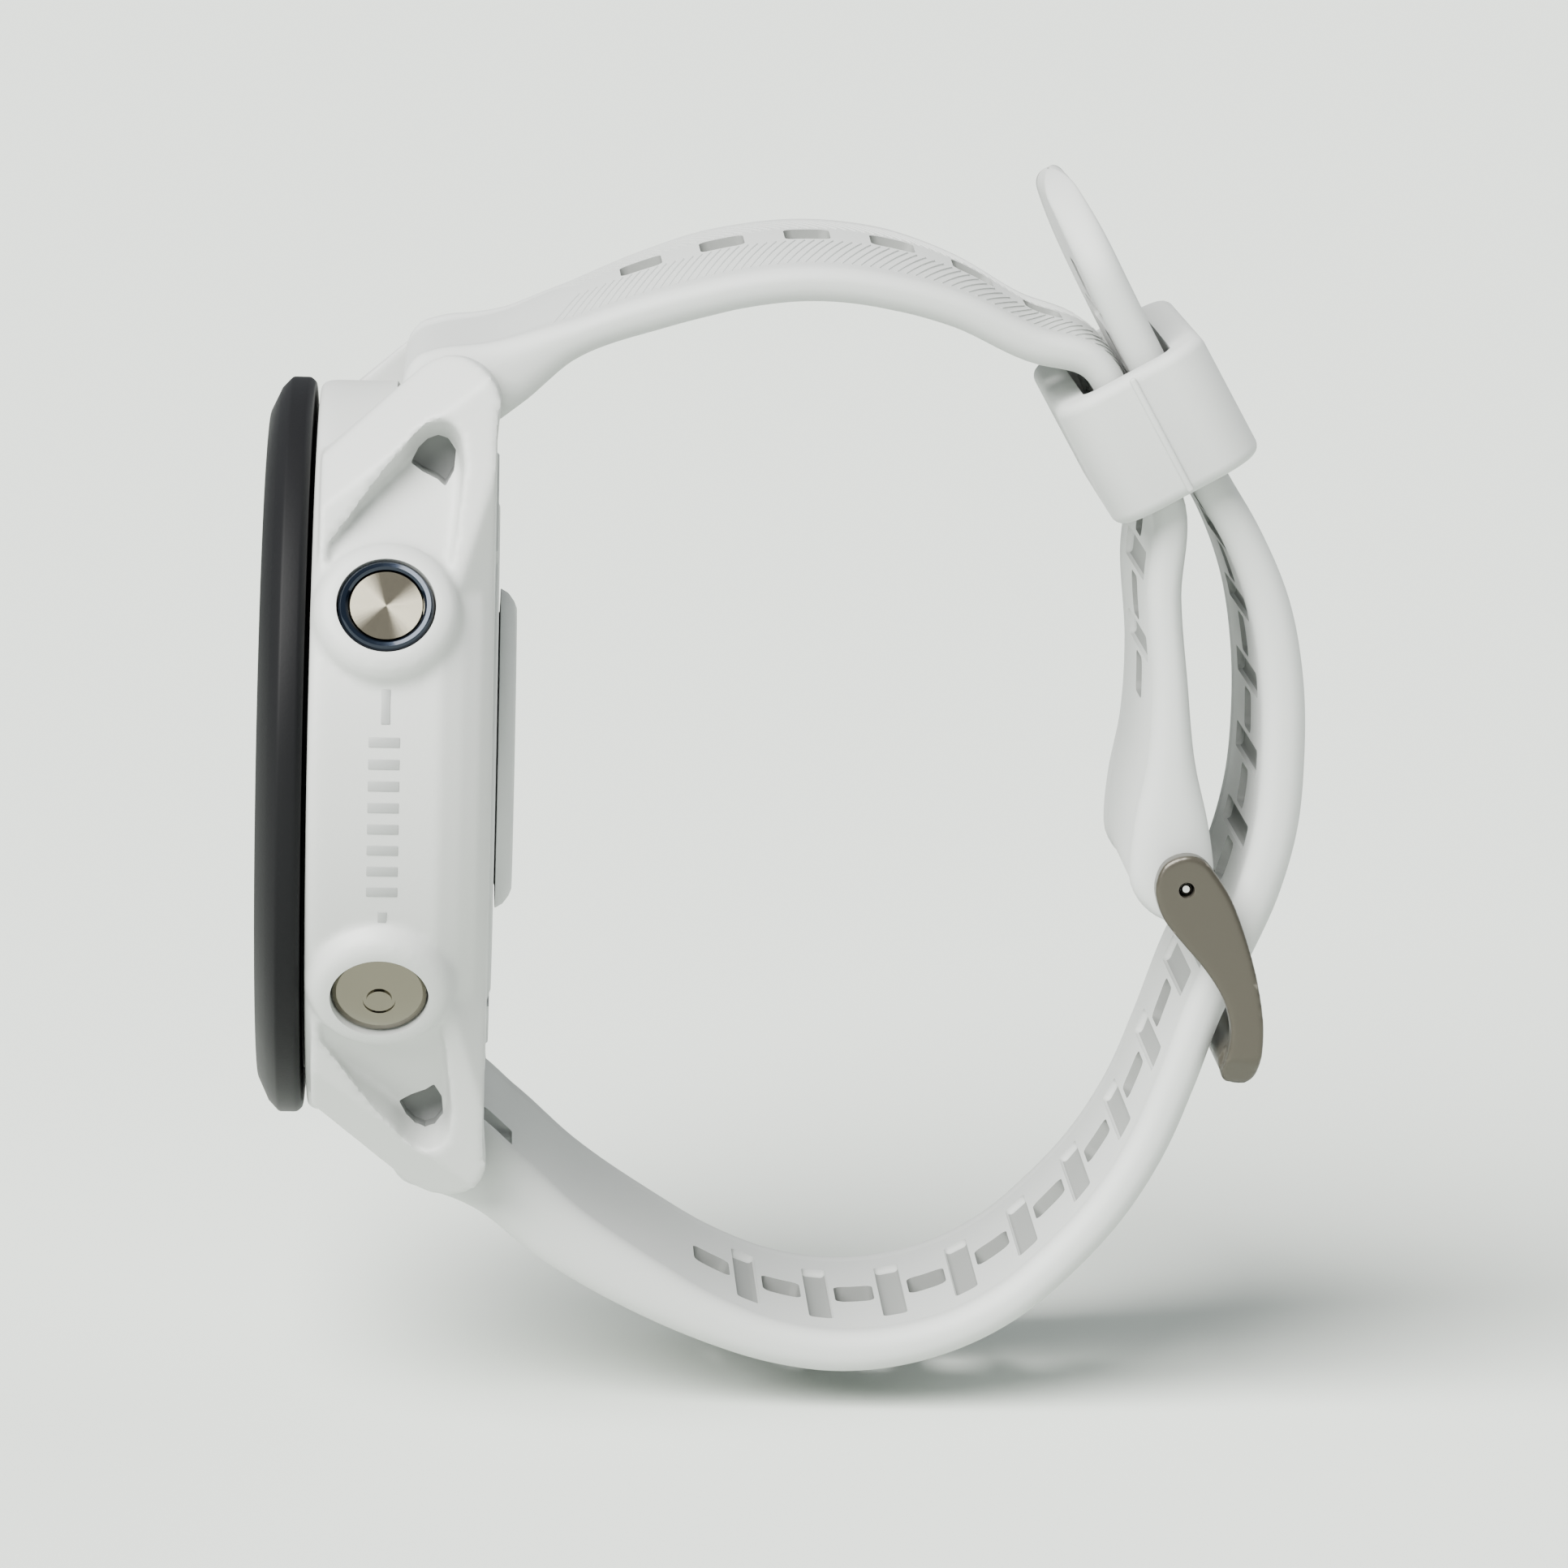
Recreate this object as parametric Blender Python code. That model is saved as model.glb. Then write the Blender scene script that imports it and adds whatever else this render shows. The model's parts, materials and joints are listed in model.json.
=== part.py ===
"""GPS running watch, buckled: a round case with five buttons and a two-part silicone strap.

Frame: +X is the 3 o'clock side, -Y the dial side, +Y the wrist side, +Z 12 o'clock.
The origin is the middle of the flat face of the sensor window, which rests on the wrist.
Dimensions are in millimetres and are turned into metres where a mesh is made.
"""

import math

import bmesh
import bpy
import numpy as np
from mathutils import Vector

MM = 0.001
GAP = 0.2                      # clearance between pieces that touch on the real watch

# case
CASE_R = 23.1
CASE_FRONT = -12.6
CASE_REAR = -1.5
DISPLAY_BAY_R = 20.8           # front cavity, down to the shelf
DISPLAY_SHELF = -9.3
BATTERY_BAY_R = 16.0           # rear cavity
COVER_RECESS_R = 19.3
COVER_SHELF = -3.8
CASE_STEPS = 64                # sides of the case
ROUND_STEPS = 48               # sides of the bezel and the back cover
SMALL_STEPS = 20               # sides of the buttons
TOOL_TRIM = 0.06               # keeps an added cylinder's ends off the strap's edge faces

# bezel and window
BEZEL_R = 23.25
BEZEL_BACK = -12.9
BEZEL_FRONT = -15.73
LENS_R = 19.6
LENS_BACK = -14.5
LENS_FRONT = -15.6

# back cover, sensor and charging contacts
COVER_R = 19.0
COVER_FACE = -1.3
COVER_INNER = -3.1
BUMP_R = 10.15                 # white sensor housing that stands proud of the back
BUMP_FACE_R = 8.9
BUMP_NECK_R = 8.6
WINDOW_R = 7.0                 # dark glass disc in the housing
WINDOW_THICKNESS = 0.9
SCREW_CIRCLE_R = 17.8
PORT_Z = -13.3

# lugs and spring bars
BAR_Y = -4.2
BAR_Z = 23.3
LUG_INNER_X = 11.2
LUG_TIP_R = 3.0
POCKET_R = 3.3
BAR_PIN_R = 0.45
BAR_HOLE_R = 0.65
BAR_SPRING_COIL_R = 0.42
BAR_SPRING_WIRE_R = 0.1

# buttons: degrees from 3 o'clock towards 12 o'clock
BUTTON_Y = -8.0
BUTTONS = {"start": 30, "back": -30, "light": 150, "up": 180, "down": 210}
BUTTON_R = 2.78
BUTTON_TIP = 24.3
BUTTON_FLANGE = 22.2
BUTTON_BORE_R = 3.0
BUTTON_BORE_FLOOR = 21.2
STEM_R = 0.7
STEM_END = 15.9

# strap
STRAP_WIDTH = 22.0
HEAD_WIDTH = 21.7
HEAD_R = 2.75
TAIL_WIDTH = 21.2
STRAP_THICKNESS = 2.5
STRAP_CHAMFER = 0.55
STRAP_STEP = 2.3
SLOT_PITCH = 5.1
SLOT_LENGTH = 2.7
SLOT_WIDTH = 4.0

# keeper: centre, direction along the strap, wall
KEEPER_CENTRE = (39.2, 22.5)
KEEPER_TURN = 29.7             # degrees that its strap direction leans from straight down
KEEPER_LENGTH = 7.8
KEEPER_INNER = (22.9, 6.1)     # across the strap, through the two layers
KEEPER_WALL = 1.6

# buckle
PIN_AT = (41.8, -5.9)
PIN_R = 0.42
HUB_R = 2.5
CHEEK_INNER_X = 11.35
CHEEK_OUTER_X = 13.0
BAR_AT = (45.6, -17.0)         # outer bar of the buckle
BAR_R = 1.15
PRONG_SLOPE = -61.4            # degrees, from +Y towards +Z
PRONG_LENGTH = 12.4
PRONG_THICKNESS = 1.0
PRONG_SLOT = 3.0               # opening of the slot in use, across the prong
PRONG_SLOT_BIAS = 0.35         # how far that opening is shifted outwards, where the prong swings

# Routes of the two straps: (y, z, thickness, width) from the spring bar to the free end.
KEEPER_DIRECTION = Vector((math.sin(math.radians(KEEPER_TURN)), -math.cos(math.radians(KEEPER_TURN))))
KEEPER_OUT = Vector((-KEEPER_DIRECTION.y, KEEPER_DIRECTION.x))
LAYER_OFFSET = 1.45            # of each strap's middle from the keeper's middle


def in_keeper(layer, along):
    """Point in the keeper on a strap's middle line; layer is -1 next to the wrist, +1 outside."""
    middle = Vector(KEEPER_CENTRE) + KEEPER_OUT * LAYER_OFFSET * layer + KEEPER_DIRECTION * along
    return (middle.x, middle.y)


UPPER_ROUTE = [
    (-4.2, 23.3, 5.2, HEAD_WIDTH), (-1.2, 25.0, 4.2, HEAD_WIDTH), (2.3, 27.2, 2.9, STRAP_WIDTH),
    (8.0, 29.6, STRAP_THICKNESS, STRAP_WIDTH), (13.0, 31.1, STRAP_THICKNESS, STRAP_WIDTH),
    (17.8, 31.7, STRAP_THICKNESS, STRAP_WIDTH), (22.5, 31.3, STRAP_THICKNESS, STRAP_WIDTH),
    (27.0, 30.0, STRAP_THICKNESS, STRAP_WIDTH), (31.5, 27.8, STRAP_THICKNESS, STRAP_WIDTH),
    in_keeper(-1, -4.6) + (STRAP_THICKNESS, STRAP_WIDTH),
    in_keeper(-1, 0.0) + (STRAP_THICKNESS, STRAP_WIDTH),
    in_keeper(-1, 4.6) + (STRAP_THICKNESS, STRAP_WIDTH),
    (40.2, 12.0, STRAP_THICKNESS, STRAP_WIDTH), (40.75, 6.5, 2.6, STRAP_WIDTH),
    (41.0, 1.5, 3.4, STRAP_WIDTH), (41.3, -2.4, 5.0, STRAP_WIDTH), (41.7, -5.6, 4.6, STRAP_WIDTH),
]
LOWER_ROUTE = [
    (-4.2, -23.3, 5.2, HEAD_WIDTH), (-0.8, -25.7, 4.6, HEAD_WIDTH), (3.2, -29.0, 4.2, STRAP_WIDTH),
    (8.5, -32.3, 3.7, STRAP_WIDTH), (12.9, -34.5, 3.1, STRAP_WIDTH), (17.0, -35.9, 2.8, STRAP_WIDTH),
    (21.4, -36.45, 2.7, STRAP_WIDTH), (25.3, -36.0, 2.6, STRAP_WIDTH), (28.7, -34.9, 2.5, STRAP_WIDTH),
    (32.0, -33.0, 2.5, 21.8), (35.2, -30.1, 2.5, 21.6), (38.0, -26.8, 2.5, 21.4),
    (40.3, -22.9, 2.5, TAIL_WIDTH), (42.0, -18.6, 2.5, TAIL_WIDTH), (43.6, -13.9, 2.5, TAIL_WIDTH),
    (45.1, -10.3, 2.5, TAIL_WIDTH), (46.6, -6.4, 2.5, TAIL_WIDTH), (47.5, -2.3, 2.5, TAIL_WIDTH),
    (47.75, 2.0, 2.5, TAIL_WIDTH), (47.5, 6.8, 2.5, TAIL_WIDTH), (46.6, 11.5, 2.5, TAIL_WIDTH),
    (44.8, 15.9, 2.5, TAIL_WIDTH),
    in_keeper(1, 4.6) + (STRAP_THICKNESS, TAIL_WIDTH),
    in_keeper(1, 0.0) + (STRAP_THICKNESS, TAIL_WIDTH),
    in_keeper(1, -4.6) + (STRAP_THICKNESS, TAIL_WIDTH),
    (35.9, 30.9, STRAP_THICKNESS, TAIL_WIDTH), (34.0, 34.5, 2.4, 20.0), (32.4, 38.0, 1.8, 14.0),
]


# ---------------------------------------------------------------- materials and mesh helpers

def material(name, colour, roughness, metallic=0.0):
    mat = bpy.data.materials.new(name)
    mat.use_nodes = True
    shader = mat.node_tree.nodes["Principled BSDF"]
    shader.inputs["Base Color"].default_value = (*colour, 1.0)
    shader.inputs["Roughness"].default_value = roughness
    shader.inputs["Metallic"].default_value = metallic
    return mat


def add_mesh(name, points, faces, mat, origin=(0, 0, 0)):
    """One closed solid from points in mm, with its object's origin at origin (mm)."""
    mesh = bpy.data.meshes.new(name)
    base = Vector(origin)
    mesh.from_pydata([tuple((Vector(p) - base) * MM) for p in points], [], faces)
    shape = bmesh.new()
    shape.from_mesh(mesh)
    bmesh.ops.recalc_face_normals(shape, faces=shape.faces)
    shape.to_mesh(mesh)
    shape.free()
    mesh.shade_smooth()
    mesh.set_sharp_from_angle(angle=math.radians(35))
    mesh.materials.append(mat)
    item = bpy.data.objects.new(name, mesh)
    item.location = base * MM
    bpy.context.scene.collection.objects.link(item)
    return item


def hide_cutter(item):
    item.hide_render = True
    item.display_type = "WIRE"
    return item


def boolean(item, tool, operation):
    """Cut, join or intersect item with tool, which becomes a hidden guide."""
    step = item.modifiers.new(operation.lower(), "BOOLEAN")
    step.operation = operation
    step.solver = "EXACT"
    step.object = hide_cutter(tool)


def frame_along(direction):
    """Two unit vectors across a direction."""
    along = Vector(direction).normalized()
    helper = Vector((1, 0, 0)) if abs(along.x) < 0.9 else Vector((0, 1, 0))
    side = along.cross(helper).normalized()
    return side, along.cross(side)


def turned(name, profile, mat, direction=(0, 1, 0), base=(0, 0, 0), steps=24, origin=None):
    """Solid of revolution: profile is a closed outline of (radius, distance along direction)."""
    side, across = frame_along(direction)
    along = Vector(direction).normalized()
    points, rings = [], []
    for radius, reach in profile:
        foot = Vector(base) + along * reach
        if radius == 0:
            rings.append([len(points)])
            points.append(foot)
            continue
        rings.append(list(range(len(points), len(points) + steps)))
        for k in range(steps):
            turn = 2 * math.pi * k / steps
            points.append(foot + (side * math.cos(turn) + across * math.sin(turn)) * radius)
    faces = []
    for first, second in zip(rings, rings[1:] + rings[:1]):
        if len(first) == len(second) == 1:
            continue
        for k in range(steps):
            corners = [first[k % len(first)], first[(k + 1) % len(first)],
                       second[(k + 1) % len(second)], second[k % len(second)]]
            faces.append(list(dict.fromkeys(corners)))
    return add_mesh(name, points, faces, mat, base if origin is None else origin)


def rod(name, radius, low, high, mat, direction=(1, 0, 0), base=(0, 0, 0), steps=16, origin=None):
    profile = [(0, low), (radius, low), (radius, high), (0, high)]
    return turned(name, profile, mat, direction, base, steps, origin)


def tube(name, outer, inner, low, high, mat, direction=(0, 1, 0), base=(0, 0, 0), steps=24):
    profile = [(outer, low), (outer, high), (inner, high), (inner, low)]
    return turned(name, profile, mat, direction, base, steps)


def prism(name, outline, low, high, mat, origin=(0, 0, 0)):
    """Outline of (y, z) points extruded along X from low to high."""
    count = len(outline)
    points = [(low, y, z) for y, z in outline] + [(high, y, z) for y, z in outline]
    faces = [list(range(count)), list(range(2 * count - 1, count - 1, -1))]
    faces += [[k, (k + 1) % count, count + (k + 1) % count, count + k] for k in range(count)]
    return add_mesh(name, points, faces, mat, origin)


def block(name, low, high, mat):
    """Box between two corners."""
    outline = [(low[1], low[2]), (high[1], low[2]), (high[1], high[2]), (low[1], high[2])]
    return prism(name, outline, low[0], high[0], mat)


def turned_block(size, centre, along, mat, name):
    """Box of size (x, along, through) with its second side lying along a (y, z) direction."""
    half_along = Vector((0, along[0], along[1])).normalized() * size[1] / 2
    half_through = Vector((0, -along[1], along[0])).normalized() * size[2] / 2
    middle = Vector((0, centre[0], centre[1]))
    ring = [middle + half_along * a + half_through * b for a, b in ((-1, -1), (1, -1), (1, 1), (-1, 1))]
    return prism(name, [(p.y, p.z) for p in ring], centre[2] - size[0] / 2, centre[2] + size[0] / 2, mat)


def smooth_route(points, step):
    """Smooth curve through rows of values whose first two columns are a place, read every step."""
    rows = np.array(points, dtype=float)
    at = np.concatenate(([0.0], np.cumsum(np.linalg.norm(np.diff(rows[:, :2], axis=0), axis=1))))
    slope = np.gradient(rows, at, axis=0)
    result = []
    for distance in np.linspace(0.0, at[-1], round(at[-1] / step) + 1):
        k = min(int(np.searchsorted(at, distance, side="right")) - 1, len(at) - 2)
        span = at[k + 1] - at[k]
        t = (distance - at[k]) / span
        result.append((2 * t**3 - 3 * t**2 + 1) * rows[k] + (t**3 - 2 * t**2 + t) * span * slope[k]
                      + (3 * t**2 - 2 * t**3) * rows[k + 1] + (t**3 - t**2) * span * slope[k + 1])
    return np.array(result)


def place_on_route(route, distance):
    """Point (y, z) and unit direction at a distance along a route."""
    fine = smooth_route(route, 0.2)[:, :2]
    at = np.concatenate(([0.0], np.cumsum(np.linalg.norm(np.diff(fine, axis=0), axis=1))))
    k = int(np.searchsorted(at, distance))
    heading = fine[k] - fine[k - 1]
    return fine[k], heading / np.linalg.norm(heading), at[-1]


# ---------------------------------------------------------------- case

def lug_solid(name, x_side, z_side):
    """Lug: lofted over Z between the case's side and the round tip at the spring bar."""
    def level(z, front, inner, outer):
        rear = -1.45
        if z > BAR_Z:
            rise = math.sqrt(max(LUG_TIP_R**2 - (z - BAR_Z)**2, 0.0))
            front, rear = max(front, BAR_Y - rise), BAR_Y + rise
        corners = ((inner, front), (outer, front), (outer, rear), (inner, rear))
        return [(x_side * x, y, z_side * z) for x, y in corners]

    heights = [14.0, 17.0, 20.0, 21.5, BAR_Z, 24.3, 25.2, 25.9, 26.2]
    points = []
    for z in heights:
        front = min(-11.9 + max(z - 20.6, 0.0) / math.tan(math.radians(38)), BAR_Y - 0.5)
        outer = 18.7 - (z - 14.0) * 0.36
        points += level(z, front, LUG_INNER_X, outer)
    faces = [[0, 1, 2, 3], [len(points) - k for k in (1, 2, 3, 4)]]
    for k in range(len(heights) - 1):
        for j in range(4):
            faces.append([4 * k + j, 4 * k + (j + 1) % 4, 4 * k + 4 + (j + 1) % 4, 4 * k + 4 + j])
    return add_mesh(name, points, faces, CASE_WHITE)


def make_case():
    profile = [(0, CASE_FRONT), (22.6, CASE_FRONT), (23.0, -12.2), (CASE_R, -11.4), (CASE_R, -5.2),
               (22.7, -3.7), (21.8, -2.3), (20.6, CASE_REAR), (0, CASE_REAR)]
    case = turned("case_middle", profile, CASE_WHITE, steps=CASE_STEPS)
    for x_side in (1, -1):
        for z_side in (1, -1):
            label = f"{'right' if x_side > 0 else 'left'}_{'top' if z_side > 0 else 'bottom'}"
            lug = lug_solid(f"guide_lug_{label}", x_side, z_side)
            boolean(case, lug, "UNION")
    for label, angle in BUTTONS.items():
        collar = [(0, 21.6), (4.15, 21.6), (4.15, 22.7), (3.9, 23.5), (3.5, 24.0), (0, 24.0)]
        boolean(case, turned(f"guide_collar_{label}", collar, CASE_WHITE, radial(angle),
                             (0, BUTTON_Y, 0), 32), "UNION")
    bays = [(0, 1.0), (COVER_RECESS_R, 1.0), (COVER_RECESS_R, COVER_SHELF), (BATTERY_BAY_R, COVER_SHELF),
            (BATTERY_BAY_R, DISPLAY_SHELF), (DISPLAY_BAY_R, DISPLAY_SHELF), (DISPLAY_BAY_R, -14.0),
            (0, -14.0)]
    boolean(case, turned("guide_bays", bays, CASE_WHITE, steps=CASE_STEPS), "DIFFERENCE")
    for label, angle in BUTTONS.items():
        bore = [(0, 15.0), (1.0, 15.0), (1.0, BUTTON_BORE_FLOOR), (BUTTON_BORE_R, BUTTON_BORE_FLOOR),
                (BUTTON_BORE_R, 26.0), (0, 26.0)]
        boolean(case, turned(f"guide_bore_{label}", bore, CASE_WHITE, radial(angle),
                             (0, BUTTON_Y, 0), 24), "DIFFERENCE")
    for z_side in (1, -1):
        label = "top" if z_side > 0 else "bottom"
        pocket = rod(f"guide_pocket_{label}", POCKET_R, -LUG_INNER_X, LUG_INNER_X, CASE_WHITE,
                     base=(0, BAR_Y, z_side * BAR_Z), steps=32)
        boolean(case, pocket, "DIFFERENCE")
        relief = block(f"guide_relief_{label}", (-LUG_INNER_X, BAR_Y, min(z_side * 20.3, z_side * 27)),
                       (LUG_INNER_X, 1.0, max(z_side * 20.3, z_side * 27)), CASE_WHITE)
        boolean(case, relief, "DIFFERENCE")
        holes = rod(f"guide_bar_holes_{label}", BAR_HOLE_R, -13.4, 13.4, CASE_WHITE,
                    base=(0, BAR_Y, z_side * BAR_Z), steps=12)
        boolean(case, holes, "DIFFERENCE")
        for x_side in (1, -1):
            window = window_cutter(f"guide_window_{label}_{x_side}", x_side, z_side)
            boolean(case, window, "DIFFERENCE")
    for k, (x, z) in enumerate(screw_places()):
        hole = rod(f"guide_screw_hole_{k + 1}", 0.7, -7.5, COVER_SHELF + 0.5, CASE_WHITE, (0, 1, 0),
                   (x, 0, z), 12)
        boolean(case, hole, "DIFFERENCE")
    return case


def window_cutter(name, x_side, z_side):
    """Three-cornered recess in a lug's outer side; its floor leans out towards the button."""
    outline = [(-11.0, 15.2), (-5.7, 21.7), (-4.9, 22.2), (-4.3, 21.8), (-4.2, 20.8), (-5.0, 14.6)]
    points = []
    for reach in (0, 1):
        for y, z in outline:
            floor = 13.2 + (22.2 - z) * 0.62
            points.append((x_side * (22.0 if reach else floor), y, z_side * z))
    count = len(outline)
    faces = [list(range(count)), list(range(2 * count - 1, count - 1, -1))]
    faces += [[k, (k + 1) % count, count + (k + 1) % count, count + k] for k in range(count)]
    return add_mesh(name, points, faces, CASE_WHITE)


def radial(angle):
    """Direction from the case's middle at an angle from 3 o'clock."""
    return (math.cos(math.radians(angle)), 0, math.sin(math.radians(angle)))


def screw_places():
    return [(SCREW_CIRCLE_R * math.cos(math.radians(a)), SCREW_CIRCLE_R * math.sin(math.radians(a)))
            for a in (48, 132, 228, 312)]


def make_bezel_and_lens():
    profile = [(22.93, BEZEL_BACK), (BEZEL_R, -13.26), (BEZEL_R, -14.38), (22.57, -15.02),
               (21.04, BEZEL_FRONT), (19.95, -15.66), (19.9, -13.6), (18.7, -13.6), (18.7, -11.6),
               (20.4, -11.6), (20.4, BEZEL_BACK)]
    turned("bezel", profile, BEZEL_BLACK, steps=ROUND_STEPS)
    lens = [(0, LENS_BACK), (LENS_R, LENS_BACK), (LENS_R, -15.4), (LENS_R - 0.25, LENS_FRONT),
            (0, LENS_FRONT)]
    turned("cover_lens", lens, GLASS, steps=32)
    tube("lens_gasket", 19.6, 18.9, -14.3, -13.8, RUBBER_BLACK, steps=32)
    rod("display_panel", 18.2, -14.3, -12.9, DISPLAY_BLACK, (0, 1, 0), steps=32)
    tube("gps_antenna", 18.2, 16.6, -12.6, -11.5, COPPER, steps=32)


def make_inner_stack():
    frame = [(0, -11.2), (20.4, -11.2), (20.4, -9.6), (16.4, -9.6), (16.4, -10.6), (0, -10.6)]
    turned("inner_frame", frame, FRAME_GREY, steps=32)
    board = rod("main_board", 16.0, -10.3, -9.7, BOARD_GREEN, (0, 1, 0), steps=32)
    chips = (((-7, -9.8, 2), (-1, -9.2, 8)), ((2, -9.8, 3), (7, -9.1, 7)),
             ((-6, -9.8, -7), (0, -9.3, -3)), ((3, -9.8, -8), (8, -9.2, -4)))
    for k, (low, high) in enumerate(chips):
        boolean(board, block(f"guide_chip_{k + 1}", low, high, BOARD_GREEN), "UNION")
    battery = block("battery", (-10.5, -8.8, -5.0), (10.5, -5.0, 10.0), BATTERY_SILVER)
    edges = battery.modifiers.new("edges", "BEVEL")
    edges.width = 0.6 * MM
    edges.segments = 1
    rod("vibration_motor", 3.6, -8.8, -6.1, STEEL, (0, 1, 0), (-6.3, 0, -9.9), 24)
    rod("buzzer", 3.8, -8.8, -7.4, BRASS, (0, 1, 0), (6.2, 0, -9.9), 24)
    for label, angle in BUTTONS.items():
        side = Vector((-math.sin(math.radians(angle)), 0, math.cos(math.radians(angle))))
        out = Vector(radial(angle))
        corners = []
        for reach in (13.6, 15.2):
            for across, y in ((-1.3, -1), (1.3, -1), (1.3, 1), (-1.3, 1)):
                corners.append(out * reach + side * across + Vector((0, BUTTON_Y + y, 0)))
        faces = [[0, 1, 2, 3], [7, 6, 5, 4]] + [[k, (k + 1) % 4, 4 + (k + 1) % 4, 4 + k] for k in range(4)]
        add_mesh(f"switch_{label}", corners, faces, SWITCH_BLACK)


def make_back():
    cover_profile = [(0, COVER_INNER), (COVER_R, COVER_INNER), (COVER_R, -1.7), (18.6, COVER_FACE),
                     (0, COVER_FACE)]
    cover = turned("case_back", cover_profile, COVER_WHITE, steps=ROUND_STEPS)
    neck = rod("guide_bump_hole", BUMP_NECK_R + GAP, -4, 0, COVER_WHITE, (0, 1, 0), steps=32)
    boolean(cover, neck, "DIFFERENCE")
    port_hole = block("guide_port_hole", (-3.9, -4, PORT_Z - 1.75), (3.9, 0, PORT_Z + 1.75), COVER_WHITE)
    boolean(cover, port_hole, "DIFFERENCE")
    for k, (x, z) in enumerate(screw_places()):
        step = [(0, -4), (0.7, -4), (0.7, -2.2), (1.05, -2.2), (1.05, 0), (0, 0)]
        cutter = turned(f"guide_cover_hole_{k + 1}", step, COVER_WHITE, (0, 1, 0), (x, 0, z), 16)
        boolean(cover, cutter, "DIFFERENCE")
        screw = [(0, -6.6), (0.5, -6.6), (0.5, -2.0), (0.85, -2.0), (0.85, -1.55), (0.45, -1.55),
                 (0.45, -1.9), (0, -1.9)]
        turned(f"back_screw_{k + 1}", screw, STEEL, (0, 1, 0), (x, 0, z), 12)
    tube("back_gasket", 16.65, 16.15, -3.6, -3.3, RUBBER_BLACK, steps=32)
    shelf = WINDOW_THICKNESS + GAP
    housing = [(WINDOW_R + GAP, 0), (BUMP_FACE_R, 0), (BUMP_R, -1.1), (BUMP_NECK_R, -1.1),
               (BUMP_NECK_R, -3.2), (7.6, -3.2), (7.6, -1.6), (6.4, -1.6), (6.4, -shelf),
               (WINDOW_R + GAP, -shelf)]
    turned("sensor_housing", housing, COVER_WHITE, steps=32)
    rod("sensor_window", WINDOW_R, -WINDOW_THICKNESS, 0, WINDOW_DARK, (0, 1, 0), steps=32)
    board = rod("sensor_board", 8.0, -4.6, -3.9, BOARD_GREEN, (0, 1, 0), steps=32)
    for k in range(6):
        turn = math.radians(60 * k)
        x, z = 4.9 * math.cos(turn), 4.9 * math.sin(turn)
        low, high = (x - 0.9, -4.1, z - 0.9), (x + 0.9, -1.8, z + 0.9)
        diode = block(f"guide_diode_{k + 1}", low, high, BOARD_GREEN)
        boolean(board, diode, "UNION")
    led = block("guide_led", (-1.2, -4.1, -1.2), (1.2, -1.6, 1.2), BOARD_GREEN)
    boolean(board, led, "UNION")
    port = block("charge_port", (-3.6, -5.4, PORT_Z - 1.45), (3.6, -1.9, PORT_Z + 1.45), SWITCH_BLACK)
    for k in range(4):
        x = -2.55 + 1.7 * k
        hole = rod(f"guide_contact_hole_{k + 1}", 0.6, -6, 0, SWITCH_BLACK, (0, 1, 0), (x, 0, PORT_Z), 12)
        boolean(port, hole, "DIFFERENCE")
        rod(f"charge_contact_{k + 1}", 0.42, -5.6, -1.75, GOLD, (0, 1, 0), (x, 0, PORT_Z), 12)


def make_buttons():
    for label, angle in BUTTONS.items():
        base = (0, BUTTON_Y, 0)
        place = Vector(base) + Vector(radial(angle)) * BUTTON_FLANGE
        stem = [(0, STEM_END), (STEM_R, STEM_END), (STEM_R, BUTTON_FLANGE)]
        if label == "start":
            cap = [(BUTTON_R, BUTTON_FLANGE), (BUTTON_R, 22.6), (2.05, 22.6), (2.05, 24.1), (1.95, 24.2),
                   (0, 24.2)]
            ring = [(BUTTON_R, 22.8), (BUTTON_R, 24.1), (2.6, BUTTON_TIP), (2.3, BUTTON_TIP), (2.2, 24.1),
                    (2.2, 22.8)]
            turned("button_start_ring", ring, RING_BLUE, radial(angle), base, SMALL_STEPS, place)
        else:
            cap = [(BUTTON_R, BUTTON_FLANGE), (BUTTON_R, 23.6), (2.55, 23.95), (1.5, 24.2), (0, BUTTON_TIP)]
        turned(f"button_{label}", stem + cap, BUTTON_METAL, radial(angle), base, SMALL_STEPS, place)
        seal = [(1.15, 21.3), (1.75, 21.3), (1.75, 21.6), (1.15, 21.6)]
        turned(f"button_seal_{label}", seal, RUBBER_BLACK, radial(angle), base, 16)


# ---------------------------------------------------------------- strap, bars, keeper, buckle

def strap_solid(name, route, outward, slot_distances, origin):
    """Strap swept along its route; outward is +1 where the outer face is left of the route."""
    rows = smooth_route(route, STRAP_STEP)
    headings = np.gradient(rows[:, :2], axis=0)
    points = []
    for (y, z, thick, width), (dy, dz) in zip(rows, headings):
        size = math.hypot(dy, dz)
        out_y, out_z = -dz / size * outward, dy / size * outward
        half, wide, cut = thick / 2, width / 2, STRAP_CHAMFER
        section = ((wide, -half + cut), (wide, half - cut), (wide - cut, half), (cut - wide, half),
                   (-wide, half - cut), (-wide, -half + cut), (cut - wide, -half), (wide - cut, -half))
        for x, rise in section:
            points.append((x, y + out_y * rise, z + out_z * rise))
    faces = [list(range(8)), list(range(len(points) - 1, len(points) - 9, -1))]
    for k in range(len(rows) - 1):
        for j in range(8):
            faces.append([8 * k + j, 8 * k + (j + 1) % 8, 8 * k + 8 + (j + 1) % 8, 8 * k + 8 + j])
    strap = add_mesh(name, points, faces, STRAP_WHITE, origin)
    for k, distance in enumerate(slot_distances):
        (y, z), heading, _ = place_on_route(route, distance)
        label = f"guide_{name}_slot_{k + 1}"
        slot = turned_block((SLOT_WIDTH, SLOT_LENGTH, 8), (y, z, 0), heading, STRAP_WHITE, label)
        boolean(strap, slot, "DIFFERENCE")
    return strap


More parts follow.
